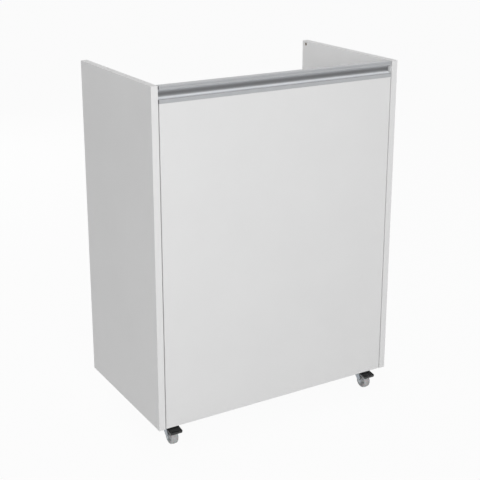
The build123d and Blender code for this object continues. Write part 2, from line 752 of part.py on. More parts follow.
stop_front_y = door_back_y + magnet_gap
with BuildPart() as door_stop:
    with BuildSketch(catch_face):
        with Locations((stop_front_y, stop_z)):
            stop_depth = catch_front_y + catch_depth - stop_front_y
            Rectangle(stop_depth, 2 * stop_half_height, align=(Align.MIN, Align.CENTER))
    extrude(amount=catch_width)
    with BuildSketch(catch_face):
        with Locations((catch_middle_y, stop_z)):
            RectangleRounded(catch_ear_width, 2 * (stop_half_height + catch_ear), catch_corner)
    extrude(amount=catch_ear_sheet)
    with BuildSketch(catch_face):
        with Locations(*catch_screw_places):
            Circle(catch_screw_radius + fastener_clearance)
    extrude(amount=catch_ear_sheet, mode=Mode.SUBTRACT)
save(door_stop, "door_stop")

with BuildPart() as catch_magnet:
    with BuildSketch(catch_face.offset((catch_width - magnet_width) / 2)):
        with Locations((catch_front_y, catch_z)):
            Rectangle(magnet_depth, 2 * magnet_half_height, align=(Align.MIN, Align.CENTER))
    extrude(amount=magnet_width)
save(catch_magnet, "catch_magnet")

with BuildPart() as catch_screws:
    with BuildSketch(catch_face.offset(catch_ear_sheet)):
        with Locations(*catch_screw_places):
            Circle(catch_head_radius)
    extrude(amount=catch_head_height)
    with BuildSketch(catch_face.offset(catch_ear_sheet)):
        with Locations(*catch_screw_places):
            Circle(catch_screw_radius)
    extrude(amount=-catch_screw_length)
save(catch_screws, "catch_screws")

with BuildPart() as strike_plate:
    with BuildSketch(facing_front(strike_y)):
        with Locations((strike_x, catch_z)):
            RectangleRounded(strike_width, 2 * strike_half_height, strike_corner)
        with Locations(*strike_screw_places):
            Circle(catch_screw_radius + fastener_clearance, mode=Mode.SUBTRACT)
    extrude(amount=strike_sheet)
save(strike_plate, "strike_plate")

with BuildPart() as strike_screws:
    with BuildSketch(facing_front(strike_y + catch_head_height)):
        with Locations(*strike_screw_places):
            Circle(catch_head_radius)
    extrude(amount=catch_head_height)
    with BuildSketch(facing_front(strike_y)):
        with Locations(*strike_screw_places):
            Circle(catch_screw_radius)
    extrude(amount=catch_screw_length)
save(strike_screws, "strike_screws")

# ---------------------------------------------------------------- castors
wheel_z = wheel_radius
cheek_inner = hub_half_width + hub_side_clearance
cheek_outer = cheek_inner + fork_sheet
rim_radius = wheel_radius - tyre_thickness
ball_z = crown_z - ball_seat + ball_radius
race_z = ball_z + ball_radius - ball_seat
pedal_z = 2 * wheel_radius + pedal_rise
pedal_pin_z = pedal_z - pedal_pin_drop
lever_half = cheek_inner - lever_side_clearance


def axle_plane(x, y):
    """Upright plane through the axle: local X along the axle, local Y upwards."""
    return Plane(origin=(x, y - trail, wheel_z), x_dir=(1, 0, 0), z_dir=(0, -1, 0))


def axle_line(x, y):
    return Axis((x, y - trail, wheel_z), (1, 0, 0))


def swivel_line(x, y):
    return Axis((x, y, 0), (0, 0, 1))


def race_groove(x, y):
    """Cut the groove of the ball race out of the piece being built."""
    with BuildSketch(Plane(origin=(x, y, 0), x_dir=(1, 0, 0), z_dir=(0, -1, 0))) as groove:
        with Locations((ball_circle, ball_z)):
            Circle(ball_radius + ball_clearance)
    revolve(groove.sketch, axis=swivel_line(x, y), mode=Mode.SUBTRACT)


def castor_plate(x, y):
    """Top plate with the upper ball race and the skirt round it."""
    with BuildPart() as plate:
        with BuildSketch(Plane.XY.offset(plate_under_z)):
            with Locations((x, y)):
                RectangleRounded(plate_side, plate_side, plate_corner)
        extrude(amount=plate_thickness)
        with BuildSketch(Plane.XY.offset(race_z)):
            with Locations((x, y)):
                Circle(skirt_radius)
                Circle(race_bore, mode=Mode.SUBTRACT)
        extrude(amount=plate_under_z - race_z)
        with BuildSketch(Plane.XY.offset(crown_z + skirt_gap)):
            with Locations((x, y)):
                Circle(skirt_radius)
                Circle(skirt_radius - fork_sheet, mode=Mode.SUBTRACT)
        extrude(amount=race_z - crown_z - skirt_gap)
        race_groove(x, y)
        with BuildSketch(Plane.XY.offset(plate_under_z)):
            with Locations(*[(x + dx, y + dy) for dx, dy in plate_hole_offsets]):
                Circle(plate_hole_radius)
            with Locations((x, y)):
                Circle(kingpin_radius + fastener_clearance)
        extrude(amount=plate_thickness, mode=Mode.SUBTRACT)
        with BuildSketch(Plane.XY.offset(base_z)):
            with Locations((x, y)):
                Circle(kingpin_top_radius + fastener_clearance)
        extrude(amount=-kingpin_top, mode=Mode.SUBTRACT)
    return plate


def castor_fork(x, y, braked):
    """Bent sheet fork under a round crown that carries the lower ball race."""
    with BuildPart() as fork:
        with BuildSketch(facing_front(y + fork_rear)) as bend:
            with Locations((x, crown_z)):
                Rectangle(2 * cheek_outer, 2 * crown_z, align=(Align.CENTER, Align.MAX))
            fillet(bend.vertices().group_by(Axis.Y)[-1], fork_bend)
            with Locations((x, crown_under_z)):
                Rectangle(2 * cheek_inner, 2 * crown_z, align=(Align.CENTER, Align.MAX), mode=Mode.SUBTRACT)
        extrude(amount=fork_rear + trail + fork_boss)
        with BuildSketch(facing_side(x - cheek_outer)):
            with BuildSketch(mode=Mode.PRIVATE) as corners:
                with Locations((y - trail, wheel_z)):
                    Circle(fork_boss)
                with Locations(((y + (fork_rear - fork_front) / 2), crown_z)):
                    Rectangle(fork_front + fork_rear, fork_shoulder, align=(Align.CENTER, Align.MAX))
            make_hull(corners.edges())
        extrude(amount=2 * cheek_outer, mode=Mode.INTERSECT)
        with BuildSketch(Plane.XY.offset(crown_under_z)):
            with Locations((x, y)):
                Circle(crown_radius)
        extrude(amount=fork_sheet)
        race_groove(x, y)
        with BuildSketch(Plane.XY.offset(crown_under_z)):
            with Locations((x, y)):
                Circle(kingpin_radius + kingpin_clearance)
        extrude(amount=fork_sheet, mode=Mode.SUBTRACT)
        with BuildSketch(facing_side(x - cheek_outer)):
            with Locations((y - trail, wheel_z)):
                Circle(axle_radius + fastener_clearance)
            if braked:
                with Locations((y - pedal_pin_offset, pedal_pin_z)):
                    Circle(pedal_pin_radius + fastener_clearance)
        extrude(amount=2 * cheek_outer, mode=Mode.SUBTRACT)
    return fork


def cross_pin(x, y, z, radius, head_radius, head):
    """Rivet across both cheeks of a fork, with a head on each side."""
    with BuildPart() as pin:
        with BuildSketch(facing_side(x - cheek_outer - head)):
            with Locations((y, z)):
                Circle(head_radius)
        extrude(amount=head)
        with BuildSketch(facing_side(x - cheek_outer)):
            with Locations((y, z)):
                Circle(radius)
        extrude(amount=2 * cheek_outer)
        with BuildSketch(facing_side(x + cheek_outer)):
            with Locations((y, z)):
                Circle(head_radius)
        extrude(amount=head)
    return pin


def wheel_core(x, y):
    """Hub, web and rim turned in one piece."""
    with BuildPart() as core:
        with BuildSketch(axle_plane(x, y)):
            with Locations((0, axle_radius + axle_clearance)):
                hub_wall = hub_radius - axle_radius - axle_clearance
                Rectangle(2 * hub_half_width, hub_wall, align=(Align.CENTER, Align.MIN))
            with Locations((0, hub_radius)):
                web_height = rim_radius - rim_thickness - hub_radius
                Rectangle(2 * web_half_width, web_height, align=(Align.CENTER, Align.MIN))
            with Locations((0, rim_radius)):
                Rectangle(2 * rim_half_width, rim_thickness, align=(Align.CENTER, Align.MAX))
        revolve(axis=axle_line(x, y))
    return core


def wheel_tyre(x, y):
    """Soft tyre with round shoulders."""
    with BuildPart() as tyre:
        with BuildSketch(axle_plane(x, y)) as section:
            with Locations((0, rim_radius)):
                Rectangle(2 * tyre_half_width, tyre_thickness, align=(Align.CENTER, Align.MIN))
            fillet(section.vertices().group_by(Axis.Y)[-1], tyre_shoulder)
        revolve(axis=axle_line(x, y))
    return tyre


def pedal_plane(x, y):
    """Plane of a pedal's underside: origin at its rear edge, local Y backward up the slope."""
    slope = math.radians(pedal_slope)
    normal = (0, -math.sin(slope), math.cos(slope))
    return Plane(origin=(x, y - pedal_heel, pedal_z), x_dir=(1, 0, 0), z_dir=normal)


def brake_pedal(x, y):
    """Moulded foot plate with grip ribs, a lip along its tip and a pocket for the lever."""
    underside = pedal_plane(x, y)
    with BuildPart() as pedal:
        with BuildSketch(underside):
            with Locations((0, -pedal_length / 2)):
                RectangleRounded(pedal_width, pedal_length, pedal_corner)
        extrude(amount=pedal_thickness)
        with BuildSketch(underside.offset(pedal_thickness)):
            for rib in range(pedal_rib_count):
                from_tip = pedal_corner + (rib + 1) * pedal_rib_pitch
                with Locations((0, from_tip - pedal_length)):
                    RectangleRounded(pedal_width - 2 * pedal_corner, pedal_rib_width, pedal_rib_corner)
        extrude(amount=pedal_rib)
        with BuildSketch(underside):
            with Locations((0, -pedal_length)):
                Rectangle(pedal_width - 2 * pedal_corner, pedal_corner, align=(Align.CENTER, Align.MIN))
        extrude(amount=-pedal_lip)
        with BuildSketch(underside):
            pocket_width = 2 * (lever_half + lever_pocket_clearance)
            pocket_length = lever_engagement + lever_pocket_clearance
            Rectangle(pocket_width, pocket_length, align=(Align.CENTER, Align.MAX))
        extrude(amount=lever_sheet, mode=Mode.SUBTRACT)
    return pedal


def brake_lever(x, y):
    """Steel lever between the fork's cheeks: a sheet that carries the pedal and an eye on the pin."""
    with BuildPart() as lever:
        with BuildSketch(pedal_plane(x, y)):
            with Locations((0, -lever_engagement)):
                lever_length = lever_engagement + pedal_heel - pedal_pin_offset
                Rectangle(2 * lever_half, lever_length, align=(Align.CENTER, Align.MIN))
        extrude(amount=lever_sheet)
        with BuildSketch(facing_side(x - lever_half)):
            with Locations((y - pedal_pin_offset, pedal_pin_z)):
                Circle(lever_eye_radius)
        extrude(amount=2 * lever_half)
        with BuildSketch(facing_side(x - lever_half)):
            with Locations((y - pedal_pin_offset, pedal_pin_z)):
                Circle(pedal_pin_radius + pedal_pin_clearance)
        extrude(amount=2 * lever_half, mode=Mode.SUBTRACT)
    return lever


for castor, (x, y) in castor_places.items():
    braked = castor.startswith("front")
    save(castor_plate(x, y), f"castor_plate_{castor}")
    save(castor_fork(x, y, braked), f"castor_fork_{castor}")
    axle = cross_pin(x, y - trail, wheel_z, axle_radius, rivet_head_radius, rivet_head)
    save(axle, f"castor_axle_{castor}")
    save(wheel_core(x, y), f"castor_wheel_{castor}")
    save(wheel_tyre(x, y), f"castor_tyre_{castor}")
    if braked:
        pin_y = y - pedal_pin_offset
        head = (pedal_pin_head_radius, pedal_pin_head)
        save(cross_pin(x, pin_y, pedal_pin_z, pedal_pin_radius, *head), f"brake_pin_{castor}")
        save(brake_lever(x, y), f"brake_lever_{castor}")
        save(brake_pedal(x, y), f"brake_pedal_{castor}")

kingpin_head_z = crown_under_z - kingpin_end_play - kingpin_head
with BuildPart() as castor_kingpins:
    with BuildSketch(Plane.XY.offset(kingpin_head_z)):
        with Locations(*castor_places.values()):
            Circle(kingpin_head_radius)
    extrude(amount=kingpin_head)
    with BuildSketch(Plane.XY.offset(kingpin_head_z)):
        with Locations(*castor_places.values()):
            Circle(kingpin_radius)
    extrude(amount=base_z - kingpin_head_z)
    with BuildSketch(Plane.XY.offset(base_z - kingpin_top)):
        with Locations(*castor_places.values()):
            Circle(kingpin_top_radius)
    extrude(amount=kingpin_top)
save(castor_kingpins, "castor_kingpins")

with BuildPart() as swivel_balls:
    for x, y in castor_places.values():
        with Locations(Location((x, y, ball_z))):
            with PolarLocations(ball_circle, ball_count):
                Sphere(ball_radius)
save(swivel_balls, "swivel_balls")

with BuildPart() as castor_screws:
    with BuildSketch(Plane.XY.offset(plate_under_z - pan_head_height)):
        with Locations(*castor_screw_places):
            Circle(pan_head_radius)
    extrude(amount=pan_head_height)
    with BuildSketch(Plane.XY.offset(plate_under_z)):
        with Locations(*castor_screw_places):
            Circle(wood_screw_radius)
    extrude(amount=wood_screw_length)
save(castor_screws, "castor_screws")
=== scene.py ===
import json
import math

import bmesh
import bpy
import numpy as np
from mathutils.geometry import tessellate_polygon
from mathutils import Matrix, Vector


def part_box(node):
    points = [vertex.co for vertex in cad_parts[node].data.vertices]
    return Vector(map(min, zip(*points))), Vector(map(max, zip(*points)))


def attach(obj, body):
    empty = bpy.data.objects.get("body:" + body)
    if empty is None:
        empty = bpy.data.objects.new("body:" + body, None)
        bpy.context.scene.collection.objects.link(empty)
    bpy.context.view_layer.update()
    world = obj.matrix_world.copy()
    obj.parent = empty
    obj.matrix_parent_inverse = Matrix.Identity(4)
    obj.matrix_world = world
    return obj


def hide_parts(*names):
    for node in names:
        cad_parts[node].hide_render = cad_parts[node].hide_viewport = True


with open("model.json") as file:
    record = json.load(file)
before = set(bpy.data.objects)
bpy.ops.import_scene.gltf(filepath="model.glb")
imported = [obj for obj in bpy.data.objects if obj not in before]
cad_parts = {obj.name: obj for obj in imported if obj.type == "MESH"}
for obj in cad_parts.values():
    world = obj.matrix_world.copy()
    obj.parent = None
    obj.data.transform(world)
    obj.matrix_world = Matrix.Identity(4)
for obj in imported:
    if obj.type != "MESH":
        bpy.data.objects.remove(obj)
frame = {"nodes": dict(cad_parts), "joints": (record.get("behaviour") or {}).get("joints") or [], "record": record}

bl_info = {
    "name": "Rolling cabinet",
    "version": (1, 0, 0),
    "blender": (4, 5, 0),
    "location": "3D View > Sidebar > Cabinet",
    "description": "Finishes and moulded parts of a white rolling cabinet on castors",
    "category": "Object",
}

MM = 0.001
MERGE_DISTANCE = 0.002 * MM
FLAT_ANGLE = math.radians(1.0)
BEVEL_ANGLE = math.radians(40)
ALL_CASTORS = ("front_left", "front_right", "rear_left", "rear_right")
BRAKED_CASTORS = ("front_left", "front_right")
# painted shade and painted highlight across the finger groove: a factor on the aluminium's colour at each height
# of the groove, dark in its middle and bright near its edges, both from 0 to 1
GROOVE_PAINTED_LIGHT = ((0.0, 0.50), (0.01, 1.0), (0.07, 1.0), (0.12, 1.0), (0.17, 0.83), (0.23, 0.45), (0.31, 0.24),
                (0.43, 0.16), (0.56, 0.18), (0.68, 0.28), (0.79, 0.50), (0.90, 0.82), (0.97, 1.0), (1.0, 0.50))
HINGE_LEVELS = ("lower", "upper")
# colours of wear and of hidden layers
JOINT_SHADE = (0.42, 0.40, 0.37, 1.0)
BOARD_DUST = (0.62, 0.60, 0.57, 1.0)
HARDBOARD_CORE = (0.30, 0.19, 0.10, 1.0)
COOL_PLATING = (0.97, 0.99, 1.03, 1.0)
WARM_PLATING = (1.02, 1.01, 0.97, 1.0)
PLASTIC_DUST = (0.45, 0.43, 0.40, 1.0)
TREAD_DIRT = (0.24, 0.23, 0.22, 1.0)
WHITE = (1.0, 1.0, 1.0, 1.0)
RIGHT = np.array((1.0, 0.0, 0.0))
BACKWARD = np.array((0.0, 1.0, 0.0))
UP = np.array((0.0, 0.0, 1.0))

# stage: the camera's place in metres, and its vertical shift as a share of the frame
CAMERA_PLACE = (-1.1509, -1.9484, 1.1713)
CAMERA_SHIFT = -0.10
# the floor's half width in metres, and the points along each of its sides
FLOOR_HALF = 20.0
FLOOR_LINES = 9
# each lamp's offset in metres from the point that it faces
SOFT_LAMP_OFFSET = np.array((-1.1, -2.8, 1.2))
BACK_LAMP_OFFSET = np.array((-0.1, 2.7, 1.0))
FILL_LAMP_OFFSET = np.array((-1.2, 0.2, 0.75))
FILL_TARGET_DROP = 60.0 * MM


# ---------------------------------------------------------------- measures of the frame
def corners(node):
    """Lowest and highest corner of a node of the frame, as arrays."""
    low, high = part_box(node)
    return np.array(low), np.array(high)


def middle(node):
    low, high = corners(node)
    return (low + high) / 2


def joint_place(name):
    """Point on the axis of a joint of the frame."""
    return np.array(next(joint["pos_m"] for joint in frame["joints"] if joint["name"] == name))


def body_of(node):
    return next(body for body, members in frame["record"]["behaviour"]["bodies"].items() if node in members)


def slot_of(node):
    return next(row["material_slot"] for row in frame["record"]["subparts"] if row["node"] == node)


def islands(node):
    """Lowest and highest corners of each separate solid in a node.

    Equal corners of the triangles get one number. Each corner then takes the lowest number
    found along its edges, again and again, until every solid holds a single number.
    """
    mesh = frame["nodes"][node].data
    mesh.calc_loop_triangles()
    points = np.empty(len(mesh.vertices) * 3)
    mesh.vertices.foreach_get("co", points)
    triangles = np.empty(len(mesh.loop_triangles) * 3, dtype=np.int32)
    mesh.loop_triangles.foreach_get("vertices", triangles)
    places, same = np.unique(np.round(points.reshape(-1, 3), 6), axis=0, return_inverse=True)
    triangles = same.reshape(-1)[triangles].reshape(-1, 3)
    starts, ends = triangles.ravel(), np.roll(triangles, 1, axis=1).ravel()
    label = np.arange(len(places))
    settled = False
    while not settled:
        lower = np.minimum(label[starts], label[ends])
        spread = label.copy()
        np.minimum.at(spread, starts, lower)
        np.minimum.at(spread, ends, lower)
        spread = spread[spread]
        settled = np.array_equal(spread, label)
        label = spread
    return [(places[label == one].min(axis=0), places[label == one].max(axis=0)) for one in np.unique(label)]


# ---------------------------------------------------------------- user settings
def colour(title, description, value):
    return bpy.props.FloatVectorProperty(
        name=title, description=description, default=value, size=3, subtype="COLOR", min=0.0, max=1.0)


def length(title, description, value):
    return bpy.props.FloatProperty(
        name=title, description=description, default=value, min=0.0,
        subtype="DISTANCE", unit="LENGTH", precision=5)


def share(title, description, value):
    return bpy.props.FloatProperty(
        name=title, description=description, default=value, min=0.0, max=1.0, subtype="FACTOR")


def amount(title, description, value, least=0.0, unit="NONE"):
    return bpy.props.FloatProperty(name=title, description=description, default=value, min=least, unit=unit)


def rotation(title, description, degrees):
    return bpy.props.FloatProperty(
        name=title, description=description, default=math.radians(degrees), subtype="ANGLE", unit="ROTATION")


def number(title, description, value, least, most):
    return bpy.props.IntProperty(name=title, description=description, default=value, min=least, max=most)


class CabinetFinish(bpy.types.PropertyGroup):
    """Colours and roughness of the cabinet's materials."""

    board: colour("Board", "Melamine face of the boards", (0.82, 0.82, 0.82))
    board_edge: colour("Board edge", "Edge band of the boards", (0.83, 0.83, 0.83))
    board_roughness: share("Board roughness", "Roughness of the melamine", 0.42)
    core: colour("Core", "Chipboard inside holes and grooves", (0.58, 0.53, 0.47))
    hardboard: colour("Hardboard", "Lacquered face of the back", (0.76, 0.76, 0.755))
    # the finger groove's painted shade and painted highlight scale this colour
    aluminium: colour("Aluminium", "Satin anodised finger pull", (0.94, 0.96, 0.99))
    aluminium_roughness: share("Aluminium roughness", "Roughness of the finger pull", 0.30)
    zinc: colour("Zinc", "Plated sheet and screws", (0.36, 0.385, 0.41))
    cast_zinc: colour("Cast zinc", "Die cast cam locks", (0.42, 0.42, 0.43))
    nickel: colour("Nickel", "Plated hinge parts", (0.62, 0.60, 0.57))
    bearing: colour("Bearing steel", "Balls and hinge pins", (0.60, 0.60, 0.62))
    tyre: colour("Tyre", "Soft grey tread", (0.50, 0.505, 0.51))
    wheel: colour("Wheel", "Moulded grey wheel core", (0.52, 0.525, 0.53))
    pedal: colour("Pedal", "Black brake pedal", (0.016, 0.016, 0.017))
    fitting: colour("Fitting", "White moulded catch and stop", (0.78, 0.78, 0.76))
    beech: colour("Beech", "Dowels", (0.60, 0.40, 0.22))
    ferrite: colour("Ferrite", "Sintered magnet", (0.10, 0.10, 0.105))


class BoardLayers(bpy.types.PropertyGroup):
    """Layers that show at the edges of a board."""

    band: length("Edge band", "Thickness of the edge band", 0.8 * MM)
    joint_line: length("Joint line", "Width of the line between band and face", 0.16 * MM)
    skin: length("Skin", "Depth below which the chipboard shows", 0.3 * MM)


class FingerPullShape(bpy.types.PropertyGroup):
    """Section of the finger pull, as it was extruded."""

    wall: length("Wall", "Front, top and bottom walls", 1.5 * MM)
    back_wall: length("Back wall", "Wall towards the inside of the cabinet", 1.8 * MM)
    line: length("Line", "Depth of the fine line along the upper lip", 0.6 * MM)
    line_drop: length("Line drop", "From the top down to the fine line", 3.7 * MM)
    upper_lip: length("Upper lip", "Flat face above the groove", 7.5 * MM)
    lower_lip: length("Lower lip", "Flat face below the groove", 8.0 * MM)
    groove: length("Groove", "Depth of the groove", 11.0 * MM)
    fin: length("Fin", "Thickness of the fin in the door", 1.5 * MM)
    fin_length: length("Fin length", "Depth of the fin in the door", 12.0 * MM)
    edge: length("Edge", "Rounding of the section's corners", 0.4 * MM)


class CastorShape(bpy.types.PropertyGroup):
    """Moulded and pressed forms of the castors."""

    crown: length("Tread crown", "Fall of the tread towards its shoulders", 0.35 * MM)
    seam: length("Seam", "Height of the mould's parting line", 0.12 * MM)
    shoulder: length("Shoulder", "Radius of the tyre's shoulders", 4.0 * MM)
    ribs: number("Ribs", "Ribs on each side of a wheel", 10, 3, 24)
    rib_width: length("Rib width", "Width of a rib on the wheel", 1.5 * MM)
    sheet: length("Sheet", "Thickness of the fork", 1.8 * MM)
    bend: length("Bend", "Outer radius of the fork's bends", 3.0 * MM)
    head: length("Rivet head", "Height of the axle's heads", 1.4 * MM)
    pin_head: length("Pin head", "Height of the pedal pin's heads", 0.7 * MM)
    slope: rotation("Slope", "Fall of the pedal towards its tip", 8.0)
    setback: length("Setback", "From the pedal's rear edge back to its pin", 11.0 * MM)
    drop: length("Drop", "From the underside of the pedal's rear edge down to its pin", 0.5 * MM)
    pedal_width: length("Pedal width", "Width of the pedal", 29.0 * MM)
    pedal_length: length("Pedal length", "Length of the pedal along its slope", 27.0 * MM)
    pedal_thickness: length("Pedal", "Thickness of the pedal", 3.5 * MM)
    pedal_corner: length("Pedal corner", "Radius of the pedal's corners", 2.5 * MM)
    pedal_lip: length("Pedal lip", "Height of the lip below the pedal's tip", 2.5 * MM)
    pedal_rib: length("Pedal rib", "Height of the ribs on the pedal", 0.6 * MM)
    pedal_pitch: length("Pedal rib pitch", "Distance between the ribs on the pedal", 3.2 * MM)
    pedal_ribs: number("Pedal ribs", "Ribs across the pedal", 4, 1, 9)
    dish: length("Dish", "Hollow in the middle of the pedal", 0.7 * MM)
    lever: length("Lever", "Thickness of the steel lever", 2.0 * MM)
    lever_length: length("Lever length", "Length of the lever inside the pedal", 14.0 * MM)
    eye: length("Eye", "Radius of the lever's eye", 3.0 * MM)


class ScrewShape(bpy.types.PropertyGroup):
    """Heads and threads of the screws."""

    recess_length: share("Recess length", "Length of the cross, as a share of the head's width", 0.56)
    recess_width: share("Recess width", "Width of the cross, as a share of the head's width", 0.15)
    recess_depth: share("Recess depth", "Depth of the cross, as a share of the head's height", 0.62)
    dome: share("Dome", "Fall of the head from its middle to its rim, as a share of its height", 0.45)
    thread_pitch: length("Thread pitch", "Distance between turns of the thread", 1.4 * MM)
    thread_depth: length("Thread depth", "Depth of the thread", 0.35 * MM)


class StudioLight(bpy.types.PropertyGroup):
    """Light, floor and camera."""

    horizon: amount("Horizon", "Strength of the light from the horizon", 0.62)
    zenith: amount("Zenith", "Strength of the light from above", 0.34)
    lamp_power: amount("Lamp", "Power of the soft lamp in watts", 47.4, unit="POWER")
    back_power: amount("Back", "Power of the lamp behind in watts", 26.0, unit="POWER")
    fill_power: amount("Fill", "Power of the lamp for the inside in watts", 0.06, unit="POWER")
    lamp_size: length("Lamp size", "Side of the soft lamp", 1.6)
    back_size: length("Back size", "Side of the lamp behind", 0.9)
    fill_size: length("Fill size", "Side of the lamp for the inside", 0.4)
    fill_spread: rotation("Fill spread", "Opening of the lamp for the inside", 24.0)
    floor: colour("Floor", "Pale studio floor", (0.62, 0.62, 0.62))
    floor_glow: share("Floor glow", "Share of the floor's colour that no shadow reaches", 0.95)
    lens: amount("Lens", "Focal length in millimetres", 77.89, least=1.0)
    heading: rotation("Heading", "Direction of view from straight ahead", -30.61)
    tilt: rotation("Tilt", "How far the view looks down from the level", 16.75)


# ---------------------------------------------------------------- surfaces
def quads(rows, columns, close_rows=False, close_columns=False):
    """Corner numbers of the quads between neighbouring rows and columns of a grid of points."""
    row = np.arange(rows if close_rows else rows - 1)
    column = np.arange(columns if close_columns else columns - 1)
    row, column = np.meshgrid(row, column, indexing="ij")
    next_row, next_column = (row + 1) % rows, (column + 1) % columns
    around = ((row, column), (row, next_column), (next_row, next_column), (next_row, column))
    return np.stack([(r * columns + c).ravel() for r, c in around], axis=1).tolist()


def arc(centre, radius, start, end, steps):
    """Points of a circular arc: centre + radius (cos a, sin a), with a from start to end in degrees."""
    angle = np.radians(np.linspace(start, end, steps))
    return np.stack((centre[0] + radius * np.cos(angle), centre[1] + radius * np.sin(angle)), axis=1)


def turned(origin, axis, along, radius, sectors, closed=True):
    """Surface of revolution: origin + along * axis + radius * (cos a * side + sin a * up).

    Along and radius hold one row for each point of the section, and one column for all
    angles or one for each. A closed section makes a ring, an open one ends on the axis.
    """
    side = np.cross(axis, UP if abs(axis[2]) < 0.9 else BACKWARD)
    side = side / np.linalg.norm(side)
    up = np.cross(axis, side)
    angle = 2 * np.pi * np.arange(sectors) / sectors
    spoke = np.outer(np.cos(angle), side) + np.outer(np.sin(angle), up)
    along = np.broadcast_to(along.reshape(len(along), -1), (len(along), sectors))
    radius = np.broadcast_to(radius.reshape(len(radius), -1), (len(radius), sectors))
    points = origin + along[:, :, None] * axis + radius[:, :, None] * spoke
    return points.reshape(-1, 3), quads(len(along), sectors, closed, True)


def extruded(origin, loops, across, start, end):
    """Straight prism: each closed loop of points is carried from start to end along a direction.

    The points are (level, up) pairs, level being square to the extrusion. The first loop is
    the outline and the others are holes. Both ends are filled between outline and holes.
    """
    level = np.cross(UP, across)
    points, faces, count = [], [], 0
    flat = np.concatenate(loops)
    for place in (start, end):
        points.append(origin + place * across + flat[:, :1] * level + flat[:, 1:] * UP)
    for loop in loops:
        ring = count + np.arange(len(loop))
        following = np.roll(ring, -1)
        faces.append(np.stack((ring, following, following + len(flat), ring + len(flat)), axis=1))
        count += len(loop)
    padded = [[(x, y, 0.0) for x, y in loop] for loop in loops]
    caps = np.array(tessellate_polygon(padded))
    walls = np.concatenate(faces).tolist()
    return np.concatenate(points), walls + caps.tolist() + (caps + len(flat)).tolist()


def add_piece(name, shells, smooth=30.0):
    """Mesh object from a list of (points, faces), with equal points merged and its faces turned outwards."""
    points, faces, count = [], [], 0
    for shell_points, shell_faces in shells:
        points.append(shell_points)
        faces += [[corner + count for corner in face] for face in shell_faces]
        count += len(shell_points)
    mesh = bpy.data.meshes.new(name)
    mesh.from_pydata(np.concatenate(points).tolist(), [], faces)
    return finish_piece(name, mesh, smooth)


def finish_piece(name, mesh, smooth):
    """Merge equal points, turn the faces outwards, shade smoothly up to an angle and link the object."""
    shape = bmesh.new()
    shape.from_mesh(mesh)
    bmesh.ops.remove_doubles(shape, verts=shape.verts, dist=MERGE_DISTANCE)
    bmesh.ops.recalc_face_normals(shape, faces=shape.faces)
    shape.to_mesh(mesh)
    shape.free()
    mesh.polygons.foreach_set("use_smooth", np.ones(len(mesh.polygons), dtype=bool))
    mesh.set_sharp_from_angle(angle=math.radians(smooth))
    piece = bpy.data.objects.new(name, mesh)
    bpy.context.scene.collection.objects.link(piece)
    return piece


def softened_copy(name, node, width):
    """Copy of a node with its loose triangles merged into whole faces, and its sharp edges bevelled."""
    mesh = frame["nodes"][node].data.copy()
    mesh.materials.clear()
    shape = bmesh.new()
    shape.from_mesh(mesh)
    bmesh.ops.remove_doubles(shape, verts=shape.verts, dist=MERGE_DISTANCE)
    bmesh.ops.dissolve_limit(shape, angle_limit=FLAT_ANGLE, verts=shape.verts, edges=shape.edges)
    shape.to_mesh(mesh)
    shape.free()
    piece = finish_piece(name, mesh, 30.0)
    bevel_edges(piece, width)
    return piece


def bevel_edges(piece, width, segments=2):
    """Round the edges that turn by more than the bevel angle."""
    bevel = piece.modifiers.new("Rounded edges", "BEVEL")
    bevel.width = width
    bevel.segments = segments
    bevel.limit_method = "ANGLE"
    bevel.angle_limit = BEVEL_ANGLE
    bevel.harden_normals = True


def material_of(node):
    return bpy.data.materials[f"finish {slot_of(node)}"]


def settle(piece, node):
    """Give a piece its finish, let it stand for a node of the frame and ride on that node's body."""
    piece.data.materials.append(material_of(node))
    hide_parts(node)
    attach(piece, body_of(node))


# ---------------------------------------------------------------- node trees
def put(tree, kind, inputs=None, **settings):
    """Add a node. An input is given a value, or the socket that feeds it."""
    made = tree.nodes.new(kind)
    for name, value in settings.items():
        setattr(made, name, value)
    for name, value in (inputs or {}).items():
        if isinstance(value, bpy.types.NodeSocket):
            tree.links.new(value, made.inputs[name])
        else:
            made.inputs[name].default_value = value
    return made


def calculate(tree, operation, *values, clamp=False):
    made = put(tree, "ShaderNodeMath", dict(enumerate(values)), operation=operation, use_clamp=clamp)
    return made.outputs[0]


def calculate_vector(tree, operation, *values):
    made = put(tree, "ShaderNodeVectorMath", dict(enumerate(values)), operation=operation)
    return made.outputs[0]


def ramp(tree, value, low, high, to_low=0.0, to_high=1.0):
    """Map a value from one range to another and hold it inside."""
    sockets = {0: value, 1: low, 2: high, 3: to_low, 4: to_high}
    return put(tree, "ShaderNodeMapRange", sockets, clamp=True).outputs[0]


def component(tree, vector, axis):
    return put(tree, "ShaderNodeSeparateXYZ", {0: vector}).outputs[axis]


def least(tree, vector):
    """Smallest of a vector's three numbers."""
    x, y, z = put(tree, "ShaderNodeSeparateXYZ", {0: vector}).outputs
    return calculate(tree, "MINIMUM", calculate(tree, "MINIMUM", x, y), z)


def connect(tree, node, sockets):
    """Feed several inputs of a node."""
    for name, socket in sockets.items():
        tree.links.new(socket, node.inputs[name])


def mix_colour(tree, share_of_second, first, second):
    """Blend two colours."""
    made = put(tree, "ShaderNodeMix", {0: share_of_second, 6: first, 7: second}, data_type="RGBA")
    return made.outputs[2]


def rgba(value):
    return (*value, 1.0)


def new_group(name, inputs, outputs):
    """Shader node group with named sockets. Returns the group with its input and output nodes."""
    group = bpy.data.node_groups.new(name, "ShaderNodeTree")
    kinds = {"V": "NodeSocketVector", "F": "NodeSocketFloat", "C": "NodeSocketColor"}
    for socket, kind in inputs.items():
        group.interface.new_socket(name=socket, in_out="INPUT", socket_type=kinds[kind])
    for socket, kind in outputs.items():
        group.interface.new_socket(name=socket, in_out="OUTPUT", socket_type=kinds[kind])
    return group, group.nodes.new("NodeGroupInput").outputs, group.nodes.new("NodeGroupOutput")


